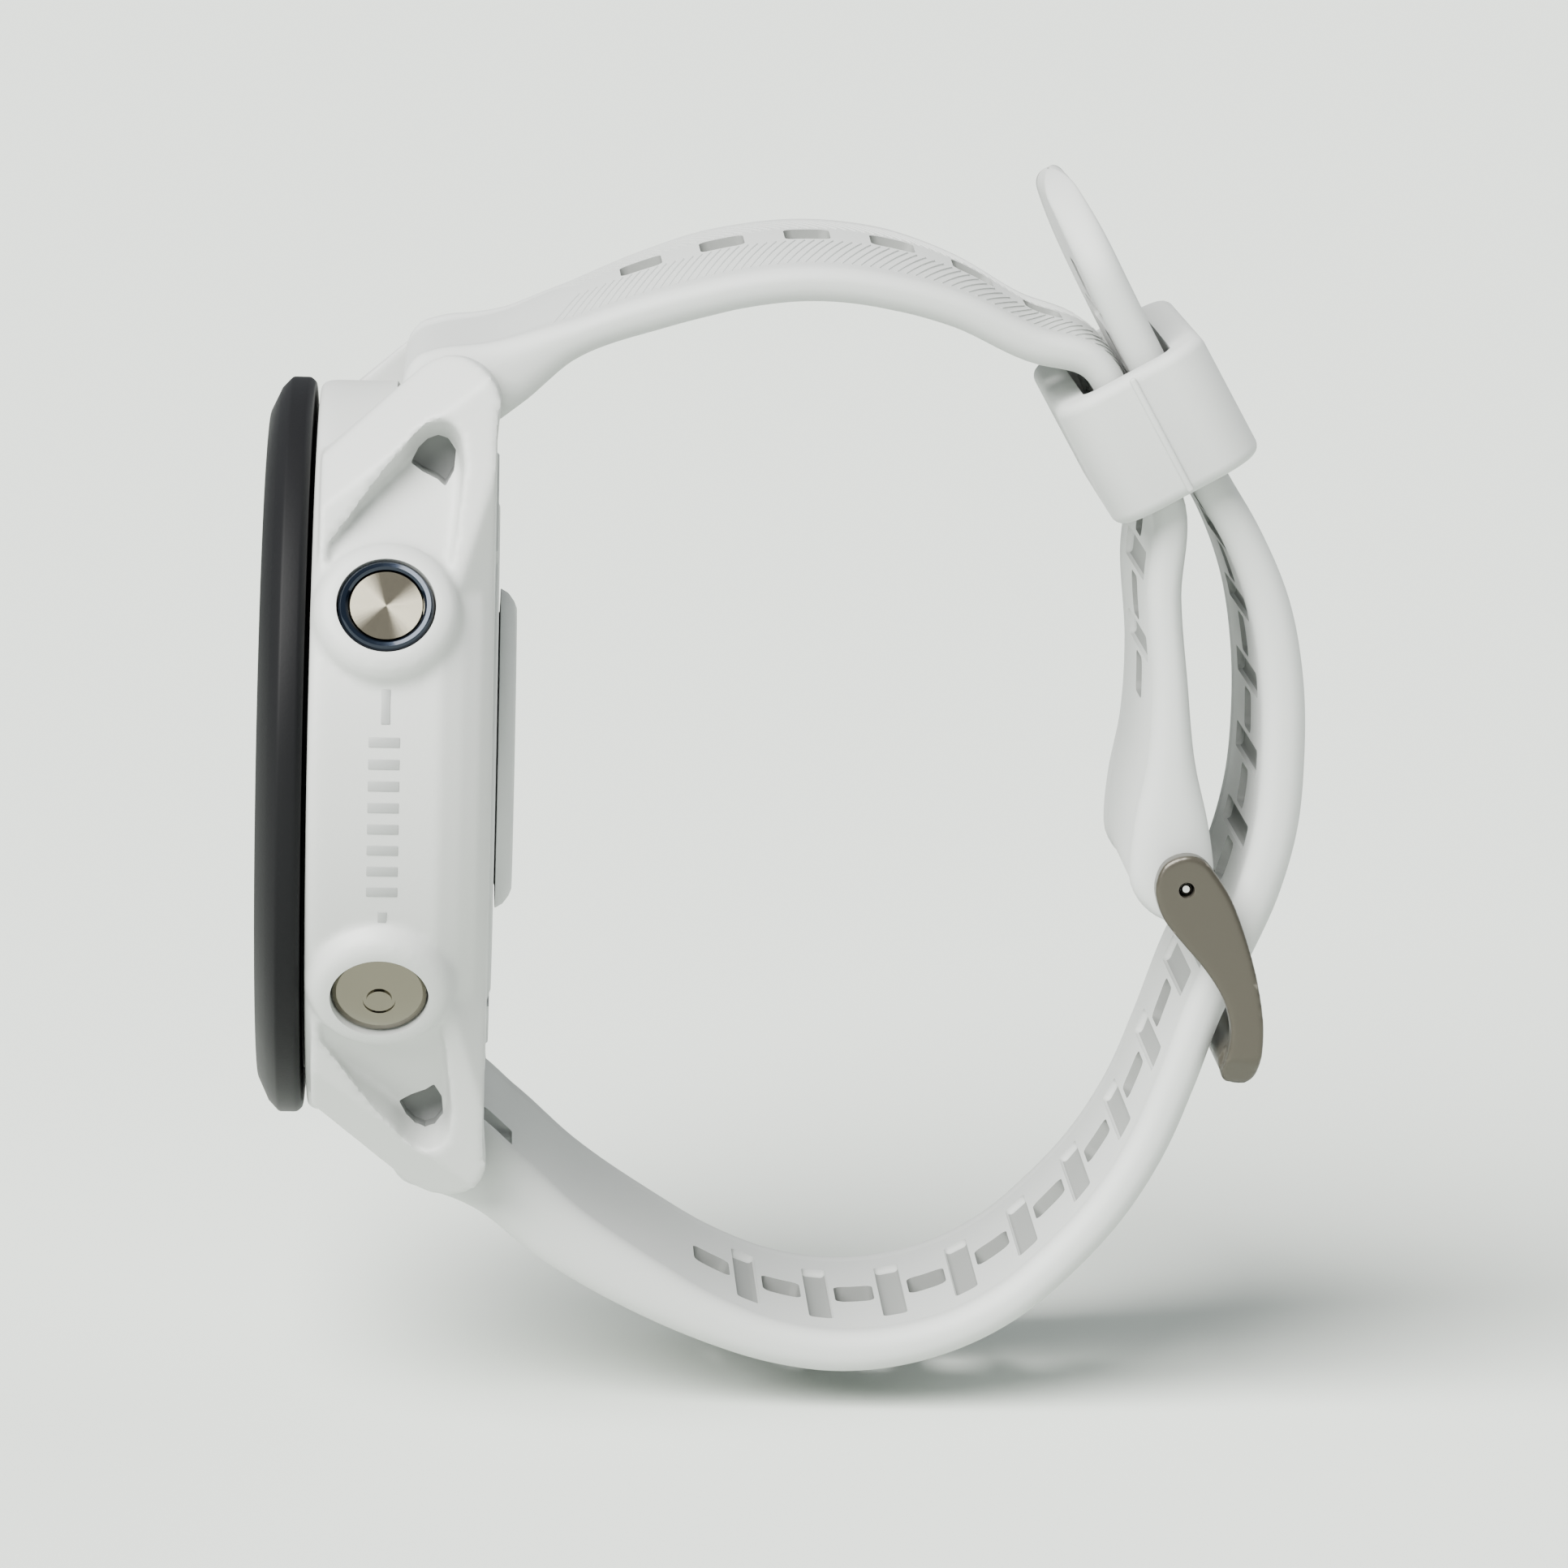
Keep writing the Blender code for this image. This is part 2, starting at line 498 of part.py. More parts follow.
def bar_parts(label, z):
    """Quick-release spring bar: tube, fixed pin, sliding pin with its knob, and the spring inside."""
    base = (0, BAR_Y, z)
    tube_item = tube(f"{label}_bar_tube", 0.9, 0.62, -10.4, 10.4, STEEL, (1, 0, 0), base, 16)
    slot = block(f"guide_{label}_tube_slot", (4.6, BAR_Y, z - 0.4), (8.2, BAR_Y + 2, z + 0.4), STEEL)
    boolean(tube_item, slot, "DIFFERENCE")
    rod(f"{label}_bar_pin", BAR_PIN_R, -12.9, -8.6, STEEL, base=base, steps=12)
    pin = rod(f"{label}_release_pin", BAR_PIN_R, 6.2, 12.9, STEEL, base=base, steps=12)
    knob = block(f"guide_{label}_knob", (6.6, BAR_Y + 0.1, z - 0.25), (7.6, BAR_Y + 3.3, z + 0.25), STEEL)
    boolean(pin, knob, "UNION")
    bar_spring(f"{label}_bar_spring", base, -8.2, 3.8)


def bar_spring(name, base, low, high, turns=7, per_turn=6, sides=3):
    """Coil spring along X, as one swept wire."""
    count = turns * per_turn
    points = []
    for k in range(count + 1):
        turn = 2 * math.pi * k / per_turn
        x = low + (high - low) * k / count
        for j in range(sides):
            around = 2 * math.pi * j / sides
            reach = BAR_SPRING_COIL_R + BAR_SPRING_WIRE_R * math.cos(around)
            points.append((x + BAR_SPRING_WIRE_R * math.sin(around), base[1] + reach * math.cos(turn),
                           base[2] + reach * math.sin(turn)))
    faces = [list(range(sides)), list(range(len(points) - 1, len(points) - sides - 1, -1))]
    for k in range(count):
        for j in range(sides):
            faces.append([sides * k + j, sides * k + (j + 1) % sides,
                          sides * (k + 1) + (j + 1) % sides, sides * (k + 1) + j])
    add_mesh(name, points, faces, STEEL, base)


def open_strap_head(strap, label, z):
    """Round head on the spring bar, with the bar's hole and the opening for the release knob."""
    base = (0, BAR_Y, z)
    half = HEAD_WIDTH / 2 - TOOL_TRIM
    head = rod(f"guide_{label}_head", HEAD_R, -half, half, STRAP_WHITE, base=base, steps=24)
    boolean(strap, head, "UNION")
    hole = rod(f"guide_{label}_head_hole", 1.1, -12, 12, STRAP_WHITE, base=base, steps=16)
    boolean(strap, hole, "DIFFERENCE")
    mouth = block(f"guide_{label}_mouth", (4.2, BAR_Y, z - 1.0), (8.4, BAR_Y + 4.5, z + 1.0), STRAP_WHITE)
    boolean(strap, mouth, "DIFFERENCE")


def make_straps():
    upper_slots = [13.4 + SLOT_PITCH * k for k in range(11)]
    upper = strap_solid("strap_upper", UPPER_ROUTE, 1, upper_slots, (0, BAR_Y, BAR_Z))
    open_strap_head(upper, "upper", BAR_Z)
    hub_base = (0, *PIN_AT)
    half = STRAP_WIDTH / 2 - TOOL_TRIM
    boolean(upper, rod("guide_hub", HUB_R, -half, half, STRAP_WHITE, base=hub_base, steps=24), "UNION")
    boolean(upper, rod("guide_hub_hole", 0.7, -12, 12, STRAP_WHITE, base=hub_base, steps=12), "DIFFERENCE")
    low, high = (-2.0, PIN_AT[0] - 1.6, -9.5), (2.0, PIN_AT[0] + 4.0, -3.7)
    boolean(upper, block("guide_hub_notch", low, high, STRAP_WHITE), "DIFFERENCE")

    prong = (math.cos(math.radians(PRONG_SLOPE)), math.sin(math.radians(PRONG_SLOPE)))
    used_at, used_point = slot_in_use(prong)
    whole = place_on_route(LOWER_ROUTE, 1.0)[2]
    slots = []
    distance = used_at % SLOT_PITCH + 3 * SLOT_PITCH
    while distance < whole - 7.0:
        if abs(distance - used_at) > 0.1:
            slots.append(distance)
        distance += SLOT_PITCH
    lower = strap_solid("strap_lower", LOWER_ROUTE, -1, slots, (0, BAR_Y, -BAR_Z))
    open_strap_head(lower, "lower", -BAR_Z)
    slot_y = used_point[0] - prong[1] * PRONG_SLOT_BIAS
    slot_z = used_point[1] + prong[0] * PRONG_SLOT_BIAS
    used = turned_block((SLOT_WIDTH, 8.0, PRONG_SLOT), (slot_y, slot_z, 0), prong, STRAP_WHITE,
                        "guide_slot_in_use")
    boolean(lower, used, "DIFFERENCE")


def slot_in_use(prong):
    """Distance along the lower strap, and place, where the prong's line goes through it."""
    fine = smooth_route(LOWER_ROUTE, 0.2)[:, :2]
    from_pin = fine - np.array(PIN_AT)
    beside = np.abs(from_pin[:, 0] * prong[1] - from_pin[:, 1] * prong[0])
    out_of_reach = from_pin[:, 1] > 0
    out_of_reach[:len(fine) // 3] = True
    beside[out_of_reach] = np.inf
    nearest = int(np.argmin(beside))
    distance = float(np.sum(np.linalg.norm(np.diff(fine[:nearest + 1], axis=0), axis=1)))
    return distance, fine[nearest]


def make_keeper():
    along = (KEEPER_DIRECTION.x, KEEPER_DIRECTION.y)
    centre = (*KEEPER_CENTRE, 0)
    outer = (KEEPER_INNER[0] + 2 * KEEPER_WALL, KEEPER_LENGTH, KEEPER_INNER[1] + 2 * KEEPER_WALL)
    keeper = turned_block(outer, centre, along, STRAP_WHITE, "strap_keeper")
    edges = keeper.modifiers.new("edges", "BEVEL")
    edges.width = 1.0 * MM
    edges.segments = 2
    inner = turned_block((KEEPER_INNER[0], KEEPER_LENGTH + 4, KEEPER_INNER[1]), centre, along, STRAP_WHITE,
                         "guide_keeper_hole")
    boolean(keeper, inner, "DIFFERENCE")


def make_buckle():
    base = (0, *PIN_AT)
    cheek = [(39.9, -6.3), (40.1, -4.8), (41.1, -3.9), (42.4, -3.8), (43.3, -4.5), (44.6, -6.4),
             (45.6, -8.8), (46.4, -11.4), (46.9, -14.0), (46.9, -16.0), (46.6, -17.4), (45.9, -18.2),
             (45.1, -18.2), (44.5, -17.5), (45.0, -16.2), (45.4, -14.6), (44.9, -12.6), (43.6, -10.8),
             (41.6, -8.9), (40.4, -7.6)]
    frame = prism("buckle_frame", cheek, -CHEEK_OUTER_X, -CHEEK_INNER_X, BUCKLE_METAL, base)
    right = prism("guide_right_cheek", cheek, CHEEK_INNER_X, CHEEK_OUTER_X, BUCKLE_METAL)
    reach = CHEEK_INNER_X + 0.4
    bar = rod("guide_outer_bar", BAR_R, -reach, reach, BUCKLE_METAL, base=(0, *BAR_AT))
    boolean(frame, bar, "UNION")
    boolean(frame, right, "UNION")
    holes = rod("guide_cheek_holes", PIN_R + 0.15, -14, 14, BUCKLE_METAL, base=base, steps=16)
    boolean(frame, holes, "DIFFERENCE")
    rod("buckle_pin", PIN_R, -CHEEK_OUTER_X + 0.15, CHEEK_OUTER_X - 0.15, STEEL, base=base, steps=16)
    slope = math.radians(PRONG_SLOPE)
    lean = (math.cos(slope), math.sin(slope))
    half_way = (PRONG_LENGTH + 0.8) / 2
    middle = (PIN_AT[0] + lean[0] * half_way, PIN_AT[1] + lean[1] * half_way, 0)
    prong = tube("buckle_prong", 1.15, 0.57, -1.2, 1.2, BUCKLE_METAL, (1, 0, 0), base, 20)
    size = (2.2, PRONG_LENGTH - 0.8, PRONG_THICKNESS)
    tongue = turned_block(size, middle, lean, BUCKLE_METAL, "guide_tongue")
    boolean(prong, tongue, "UNION")


for item in list(bpy.data.objects):
    bpy.data.objects.remove(item, do_unlink=True)

CASE_WHITE = material("case white", (0.80, 0.81, 0.80), 0.5)
COVER_WHITE = material("cover white", (0.76, 0.77, 0.77), 0.5)
STRAP_WHITE = material("strap white", (0.78, 0.80, 0.78), 0.6)
BEZEL_BLACK = material("bezel black", (0.02, 0.02, 0.022), 0.4)
GLASS = material("window glass", (0.03, 0.03, 0.035), 0.05)
DISPLAY_BLACK = material("display", (0.01, 0.01, 0.012), 0.1)
WINDOW_DARK = material("sensor glass", (0.05, 0.05, 0.05), 0.1)
RUBBER_BLACK = material("rubber", (0.03, 0.03, 0.03), 0.8)
FRAME_GREY = material("inner frame", (0.15, 0.15, 0.16), 0.6)
BOARD_GREEN = material("circuit board", (0.02, 0.14, 0.07), 0.5)
BATTERY_SILVER = material("battery", (0.55, 0.56, 0.58), 0.4, 0.4)
SWITCH_BLACK = material("switch", (0.04, 0.04, 0.045), 0.5)
STEEL = material("steel", (0.62, 0.62, 0.62), 0.3, 1.0)
BRASS = material("brass", (0.75, 0.6, 0.3), 0.35, 1.0)
GOLD = material("gold contact", (0.9, 0.7, 0.35), 0.25, 1.0)
COPPER = material("antenna", (0.75, 0.5, 0.35), 0.4, 1.0)
BUTTON_METAL = material("button metal", (0.62, 0.58, 0.52), 0.25, 1.0)
RING_BLUE = material("ring blue", (0.03, 0.06, 0.1), 0.25, 0.8)
BUCKLE_METAL = material("buckle metal", (0.2, 0.18, 0.15), 0.45, 0.6)

make_case()
make_bezel_and_lens()
make_inner_stack()
make_back()
make_buttons()
make_straps()
bar_parts("upper", BAR_Z)
bar_parts("lower", -BAR_Z)
make_keeper()
make_buckle()
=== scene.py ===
"""Finished surfaces for a round running watch with a buckled silicone strap.

Frame: +X is the 3 o'clock side, -Y the dial side, +Y the wrist side, +Z 12 o'clock.
The origin is the middle of the flat face of the sensor window. Lengths below are in
millimetres and are turned into metres where a mesh is made.
"""

import json
import math

import bpy
import numpy as np
from bpy.props import FloatProperty, FloatVectorProperty, IntProperty, PointerProperty
from mathutils import Matrix, Vector


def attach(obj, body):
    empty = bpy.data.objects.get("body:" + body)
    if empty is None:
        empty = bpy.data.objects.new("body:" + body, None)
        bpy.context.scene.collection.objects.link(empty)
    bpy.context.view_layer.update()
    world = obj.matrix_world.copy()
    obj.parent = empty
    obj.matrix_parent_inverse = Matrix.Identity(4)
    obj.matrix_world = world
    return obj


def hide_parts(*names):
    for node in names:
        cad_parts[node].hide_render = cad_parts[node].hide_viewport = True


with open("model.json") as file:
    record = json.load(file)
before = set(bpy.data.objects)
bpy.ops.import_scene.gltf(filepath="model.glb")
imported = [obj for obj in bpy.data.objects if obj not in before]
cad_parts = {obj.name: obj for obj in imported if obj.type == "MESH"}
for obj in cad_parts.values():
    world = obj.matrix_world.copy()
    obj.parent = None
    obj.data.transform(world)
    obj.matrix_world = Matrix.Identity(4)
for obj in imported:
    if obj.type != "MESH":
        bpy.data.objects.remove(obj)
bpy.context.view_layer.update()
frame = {"nodes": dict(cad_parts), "record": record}

bl_info = {
    "name": "Running watch surfaces",
    "version": (1, 0, 0),
    "blender": (4, 5, 0),
    "location": "3D View > Sidebar > Watch",
    "description": "Models and finishes the visible surfaces of a running watch",
    "category": "Object",
}

MM = 0.001

# case
CASE_R = 23.1
BAR_Y = -4.2                   # spring bars
BAR_Z = 23.3
LUG_INNER_X = 11.2
LUG_TIP_R = 3.0
LUG_SLOPE = 38                 # degrees of a lug's front edge from straight up
BUTTON_Y = -8.0
BUTTONS = {"start": 30, "back": -30, "light": 150, "up": 180, "down": 210}
SCREW_CIRCLE_R = 17.8
SCREW_ANGLES = (48, 132, 228, 312)
PORT_Z = -13.3
DIAL_MARK_R = 17.6              # outer ends of the minute marks

# buckle pin, outer bar and the prong's lean
PIN_AT = (41.8, -5.9)
BAR_AT = (45.6, -17.0)
PRONG_SLOPE = -61.4
PRONG_LEAN = (math.cos(math.radians(PRONG_SLOPE)), math.sin(math.radians(PRONG_SLOPE)))

# keeper: its middle, its turn and how far each strap runs from the middle
KEEPER_CENTRE = (39.2, 22.5)
KEEPER_TURN = 29.7
KEEPER_DIRECTION = Vector((math.sin(math.radians(KEEPER_TURN)), -math.cos(math.radians(KEEPER_TURN))))
KEEPER_OUT = Vector((-KEEPER_DIRECTION.y, KEEPER_DIRECTION.x))
LAYER_OFFSET = 1.45

SLOT_PITCH = 5.1
STRAP_HALF = 11.0
STRAP_THICK = 2.5
STRAP_FACE = 1.14               # height of the recessed outer face over the strap's middle
HEAD_ROUND = 1.7                # length over which a strap's head closes

# camera: place in metres, turns in radians and lens in millimetres
CAMERA_AT = (0.45253, -0.00266, 0.07565)
CAMERA_YAW, CAMERA_PITCH, CAMERA_ROLL = 0.04383, -0.16964, 0.02752
CAMERA_LENS = 166.0


def in_keeper(layer, along):
    """Point in the keeper on a strap's middle line; layer is -1 next to the wrist, +1 outside."""
    middle = Vector(KEEPER_CENTRE) + KEEPER_OUT * LAYER_OFFSET * layer + KEEPER_DIRECTION * along
    return (middle.x, middle.y)


# Routes of the two straps: (y, z, thickness, width). The first point is the head's front.
UPPER_ROUTE = [
    (-7.4, 23.2, 5.0, 21.7), (-4.2, 23.75, 5.7, 21.7), (-1.2, 25.0, 4.4, 21.7), (2.3, 27.2, 2.8, 22.0),
    (8.0, 29.6, 2.6, 22.0), (13.0, 31.1, 2.55, 22.0), (17.8, 31.7, 2.55, 22.0), (22.5, 31.3, 2.55, 22.0),
    (27.0, 30.0, 2.55, 22.0), (31.5, 27.8, 2.55, 22.0), in_keeper(-1, -5.6) + (2.4, 22.0),
    in_keeper(-1, 0.0) + (2.5, 22.0), in_keeper(-1, 4.6) + (2.5, 22.0), (40.2, 12.0, 2.5, 22.0),
    (40.75, 6.5, 2.6, 22.0), (41.0, 1.5, 3.4, 22.0), (41.15, -2.4, 5.0, 22.0), (41.3, -5.4, 5.6, 22.0),
    (41.5, -8.4, 5.0, 22.0),
]
LOWER_ROUTE = [
    (-7.4, -23.2, 5.0, 21.7), (-4.2, -23.75, 5.7, 21.7), (-0.8, -25.7, 4.6, 21.7), (3.2, -29.0, 4.2, 22.0),
    (8.5, -32.3, 3.7, 22.0), (12.9, -34.5, 3.1, 22.0), (17.0, -35.9, 2.8, 22.0), (21.4, -36.45, 2.7, 22.0),
    (25.3, -36.0, 2.6, 22.0), (28.7, -34.9, 2.5, 22.0), (32.0, -33.0, 2.5, 21.8), (35.2, -30.1, 2.5, 21.6),
    (38.0, -26.8, 2.5, 21.4), (40.3, -22.9, 2.5, 21.2), (42.0, -18.6, 2.5, 21.2), (43.6, -13.9, 2.5, 21.2),
    (45.15, -10.3, 2.6, 21.2), (46.7, -6.4, 2.7, 21.2), (47.65, -2.3, 2.8, 21.2), (47.9, 2.0, 2.8, 21.2),
    (47.65, 6.8, 2.8, 21.2), (46.7, 11.5, 2.7, 21.2), (44.8, 15.9, 2.5, 21.2),
    in_keeper(1, 4.6) + (2.5, 21.2), in_keeper(1, 0.0) + (2.5, 21.2), in_keeper(1, -4.6) + (2.5, 21.2),
    (36.15, 31.0, 2.5, 21.2), (34.4, 34.4, 2.4, 20.6), (32.7, 37.6, 1.9, 19.0),
]

# Along each strap, as (distance from the head, amount): the bulge of its middle in mm, and the
# degrees by which its near side leans in. The first and last amounts hold beyond their distances.
UPPER_CROWN = [(34, 0.3), (42, 0.0)]
LOWER_CROWN = [(36, 0.2), (46, 0.0)]
UPPER_TWIST = [(8, 0.0), (20, 3.0), (32, 3.0), (44, 0.0)]
NO_TWIST = [(0, 0.0)]


# ---------------------------------------------------------------- properties

def length(name, description, default, low=0.00001):
    return FloatProperty(name=name, description=description, default=default, min=low, unit="LENGTH",
                         precision=5)


def colour(name, description, default):
    return FloatVectorProperty(name=name, description=description, default=default, size=3, min=0.0,
                               max=1.0, subtype="COLOR")


class WatchSizes(bpy.types.PropertyGroup):
    voxel: length("Case voxel", "Size of the cells that the case is blended with", 0.00022)
    blend: IntProperty(name="Case blending", description="Smoothing passes over the case's corners",
                       default=9, min=1)
    turned_steps: IntProperty(name="Turned steps", description="Sides of the large round pieces",
                              default=192, min=24)
    button_steps: IntProperty(name="Button steps", description="Sides of the buttons", default=96, min=16)
    edge: length("Edge", "Rounding of turned edges", 0.00012)
    strap_step: length("Strap step", "Distance between cross sections of the strap", 0.0006)
    rib_pitch: length("Rib pitch", "Distance between the strap's slanted ribs", 0.00056)
    rib_height: length("Rib height", "How far a rib stands out of the strap", 0.00006)
    keeper_corner: length("Keeper corner", "Outer corner radius of the keeper", 0.0029)
    buckle_voxel: length("Buckle voxel", "Size of the cells that the buckle is blended with", 0.00014)
    floor_height: FloatProperty(name="Floor height", description="Height of the floor", default=-0.0402,
                                unit="LENGTH")


class WatchColours(bpy.types.PropertyGroup):
    case: colour("Case", "Moulded case", (0.50, 0.515, 0.50))
    cover: colour("Back", "Back cover and sensor housing", (0.49, 0.505, 0.50))
    strap: colour("Strap", "Silicone strap", (0.49, 0.508, 0.495))
    bezel: colour("Bezel", "Bezel ring", (0.007, 0.0072, 0.008))
    buckle: colour("Buckle", "Buckle coating", (0.064, 0.058, 0.045))
    button: colour("Buttons", "Button metal", (0.17, 0.158, 0.122))
    ring: colour("Start ring", "Ring round the start button", (0.006, 0.012, 0.024))
    marks: colour("Marks", "Marks on the case's side", (0.30, 0.313, 0.305))
    floor: colour("Floor", "Studio floor", (0.67, 0.71, 0.665))


def sizes():
    return bpy.context.scene.watch_sizes


def colours():
    return bpy.context.scene.watch_colours


# ---------------------------------------------------------------- modelling helpers

def deselect():
    bpy.ops.object.select_all(action="DESELECT")


def pick(piece):
    deselect()
    piece.select_set(True)
    bpy.context.view_layer.objects.active = piece


def named(name):
    piece = bpy.context.object
    piece.name = name
    piece.data.name = name
    return piece


def settle(piece):
    """Put the piece's place, turn and size into its mesh."""
    pick(piece)
    bpy.ops.object.transform_apply(location=True, rotation=True, scale=True)
    return piece


def join(name, parts):
    pick(parts[0])
    for part in parts:
        part.select_set(True)
    if len(parts) > 1:
        bpy.ops.object.join()
    return named(name)


def with_modifier(piece, kind, **settings):
    """Add a modifier with these settings and apply it."""
    step = piece.modifiers.new(kind.lower(), kind)
    for name, value in settings.items():
        setattr(step, name, value)
    pick(piece)
    bpy.ops.object.modifier_apply(modifier=step.name)
    return piece


def combine(piece, tool, operation="DIFFERENCE"):
    with_modifier(piece, "BOOLEAN", operation=operation, object=tool, solver="MANIFOLD")
    bpy.data.objects.remove(tool)
    return piece


def soften(piece, width, segments=3, angle=28):
    """Round every edge sharper than an angle."""
    return with_modifier(piece, "BEVEL", width=width, segments=segments, limit_method="ANGLE",
                         angle_limit=math.radians(angle), use_clamp_overlap=True, miter_outer="MITER_ARC")


def shade(piece, angle=35):
    pick(piece)
    bpy.ops.object.shade_smooth_by_angle(angle=math.radians(angle))
    return piece


def close_up(piece):
    """Merge doubles and turn the faces outwards."""
    pick(piece)
    bpy.ops.object.mode_set(mode="EDIT")
    bpy.ops.mesh.select_all(action="SELECT")
    bpy.ops.mesh.remove_doubles(threshold=0.000001)
    bpy.ops.mesh.normals_make_consistent(inside=False)
    bpy.ops.object.mode_set(mode="OBJECT")
    return piece


def draw_line(name, points):
    """Edges through points in mm, extruded one after the other from a single corner."""
    deselect()
    bpy.ops.mesh.primitive_plane_add(size=MM, location=Vector(points[0]) * MM)
    piece = named(name)
    bpy.ops.object.mode_set(mode="EDIT")
    bpy.ops.mesh.merge(type="CENTER")
    for here, there in zip(points, points[1:]):
        step = (Vector(there) - Vector(here)) * MM
        bpy.ops.mesh.extrude_vertices_move(TRANSFORM_OT_translate={"value": step})
    bpy.ops.object.mode_set(mode="OBJECT")
    return settle(piece)


def draw_face(name, points):
    """A flat face with an outline of points in mm."""
    piece = draw_line(name, points)
    bpy.ops.object.mode_set(mode="EDIT")
    bpy.ops.mesh.select_all(action="SELECT")
    bpy.ops.mesh.edge_face_add()
    bpy.ops.object.mode_set(mode="OBJECT")
    return piece


def extrude(piece, *steps):
    """Extrude a flat piece by each of these (x, y, z) steps in mm, one after the other."""
    pick(piece)
    bpy.ops.object.mode_set(mode="EDIT")
    bpy.ops.mesh.select_all(action="SELECT")
    for step in steps:
        bpy.ops.mesh.extrude_region_move(TRANSFORM_OT_translate={"value": [reach * MM for reach in step]})
    bpy.ops.object.mode_set(mode="OBJECT")
    return close_up(piece)


def prism(name, outline, low, high):
    """An outline of (y, z) points extruded along X from low to high."""
    return extrude(draw_face(name, [(low, y, z) for y, z in outline]), (high - low, 0, 0))


def trim(piece, point, normal):
    """Cut away what lies past a plane and close the cut."""
    pick(piece)
    bpy.ops.object.mode_set(mode="EDIT")
    bpy.ops.mesh.select_all(action="SELECT")
    bpy.ops.mesh.bisect(plane_co=Vector(point) * MM, plane_no=normal, clear_outer=True, use_fill=True)
    bpy.ops.object.mode_set(mode="OBJECT")
    return close_up(piece)


def aim(piece, direction, base):
    """Turn a piece that was made along +Y so that it runs along direction from base."""
    piece.matrix_world = (Matrix.Translation(Vector(base) * MM)
                          @ Vector((0, 1, 0)).rotation_difference(Vector(direction)).to_matrix().to_4x4())
    return settle(piece)


def turned(name, profile, steps, direction=(0, 1, 0), base=(0, 0, 0)):
    """Spin an outline of (radius, reach) points about its axis."""
    points = [(radius, reach, 0) for radius, reach in profile]
    if profile[0][0] > 0:
        points.append(points[0])
    piece = draw_line(name, points)
    bpy.ops.object.mode_set(mode="EDIT")
    bpy.ops.mesh.select_all(action="SELECT")
    bpy.ops.mesh.spin(steps=steps, angle=2 * math.pi, center=(0, 0, 0), axis=(0, 1, 0))
    bpy.ops.object.mode_set(mode="OBJECT")
    close_up(piece)
    return aim(piece, direction, base)


def rod(name, radius, low, high, direction=(1, 0, 0), base=(0, 0, 0), steps=32):
    return turned(name, [(0, low), (radius, low), (radius, high), (0, high)], steps, direction, base)


def bar(name, size, centre, turn=0.0, corner=0.0, segments=3):
    """A block of size (x, y, z) with rounded edges; turn is in degrees about X."""
    deselect()
    bpy.ops.mesh.primitive_cube_add(size=MM, location=Vector(centre) * MM,
                                    rotation=(math.radians(turn), 0, 0), scale=size)
    piece = settle(named(name))
    if corner:
        soften(piece, corner * MM, segments)
    return piece


def arc(centre, radius, start, end, count):
    """Points on an arc in a plane, by angle in degrees."""
    return [(centre[0] + radius * math.cos(math.radians(a)), centre[1] + radius * math.sin(math.radians(a)))
            for a in np.linspace(start, end, count)]


def round_box(width, height, radius, count=7):
    """Outline of a rectangle with round corners, round its middle."""
    points = []
    for x, y, start in ((1, 1, 0), (-1, 1, 90), (-1, -1, 180), (1, -1, 270)):
        middle = (x * (width / 2 - radius), y * (height / 2 - radius))
        points += arc(middle, radius, start, start + 90, count)
    return points


def closed_curve(points, steps):
    """Points along a smooth closed curve through an outline."""
    rows = [Vector(point) for point in points]
    result = []
    for k in range(len(rows)):
        before, here, there, after = (rows[(k + j) % len(rows)] for j in (-1, 0, 1, 2))
        for t in np.linspace(0, 1, steps, endpoint=False):
            spot = (here * 2 + (there - before) * t + (before * 2 - here * 5 + there * 4 - after) * t**2
                    + (here * 3 - before - there * 3 + after) * t**3) * 0.5
            result.append((spot.x, spot.y))
    return result


def radial(angle):
    return Vector((math.cos(math.radians(angle)), 0, math.sin(math.radians(angle))))


def mirrored(outline):
    return [(y, -z) for y, z in outline]


def place(piece, body, slot, *nodes):
    """Fix a finished piece to its body and hide the nodes that it stands for."""
    if nodes:
        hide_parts(*nodes)
    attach(piece, body)
    return piece


# ---------------------------------------------------------------- shared effects (node groups)

def start_group(name, inputs, outputs):
    group = bpy.data.node_groups.new(name, "ShaderNodeTree")
    for label, kind, value in inputs:
        socket = group.interface.new_socket(label, in_out="INPUT", socket_type=kind)
        if value is not None:
            socket.default_value = value
    for label, kind in outputs:
        group.interface.new_socket(label, in_out="OUTPUT", socket_type=kind)
    return group, group.nodes.new("NodeGroupInput"), group.nodes.new("NodeGroupOutput")


def node(tree, kind, links=(), **settings):
    """Add a node; links are (input name or number, output socket or value)."""
    item = tree.nodes.new(kind)
    for name, value in settings.items():
        setattr(item, name, value)
    for target, source in links:
        if isinstance(source, bpy.types.NodeSocket):
            tree.links.new(source, item.inputs[target])
        else:
            item.inputs[target].default_value = source
    return item


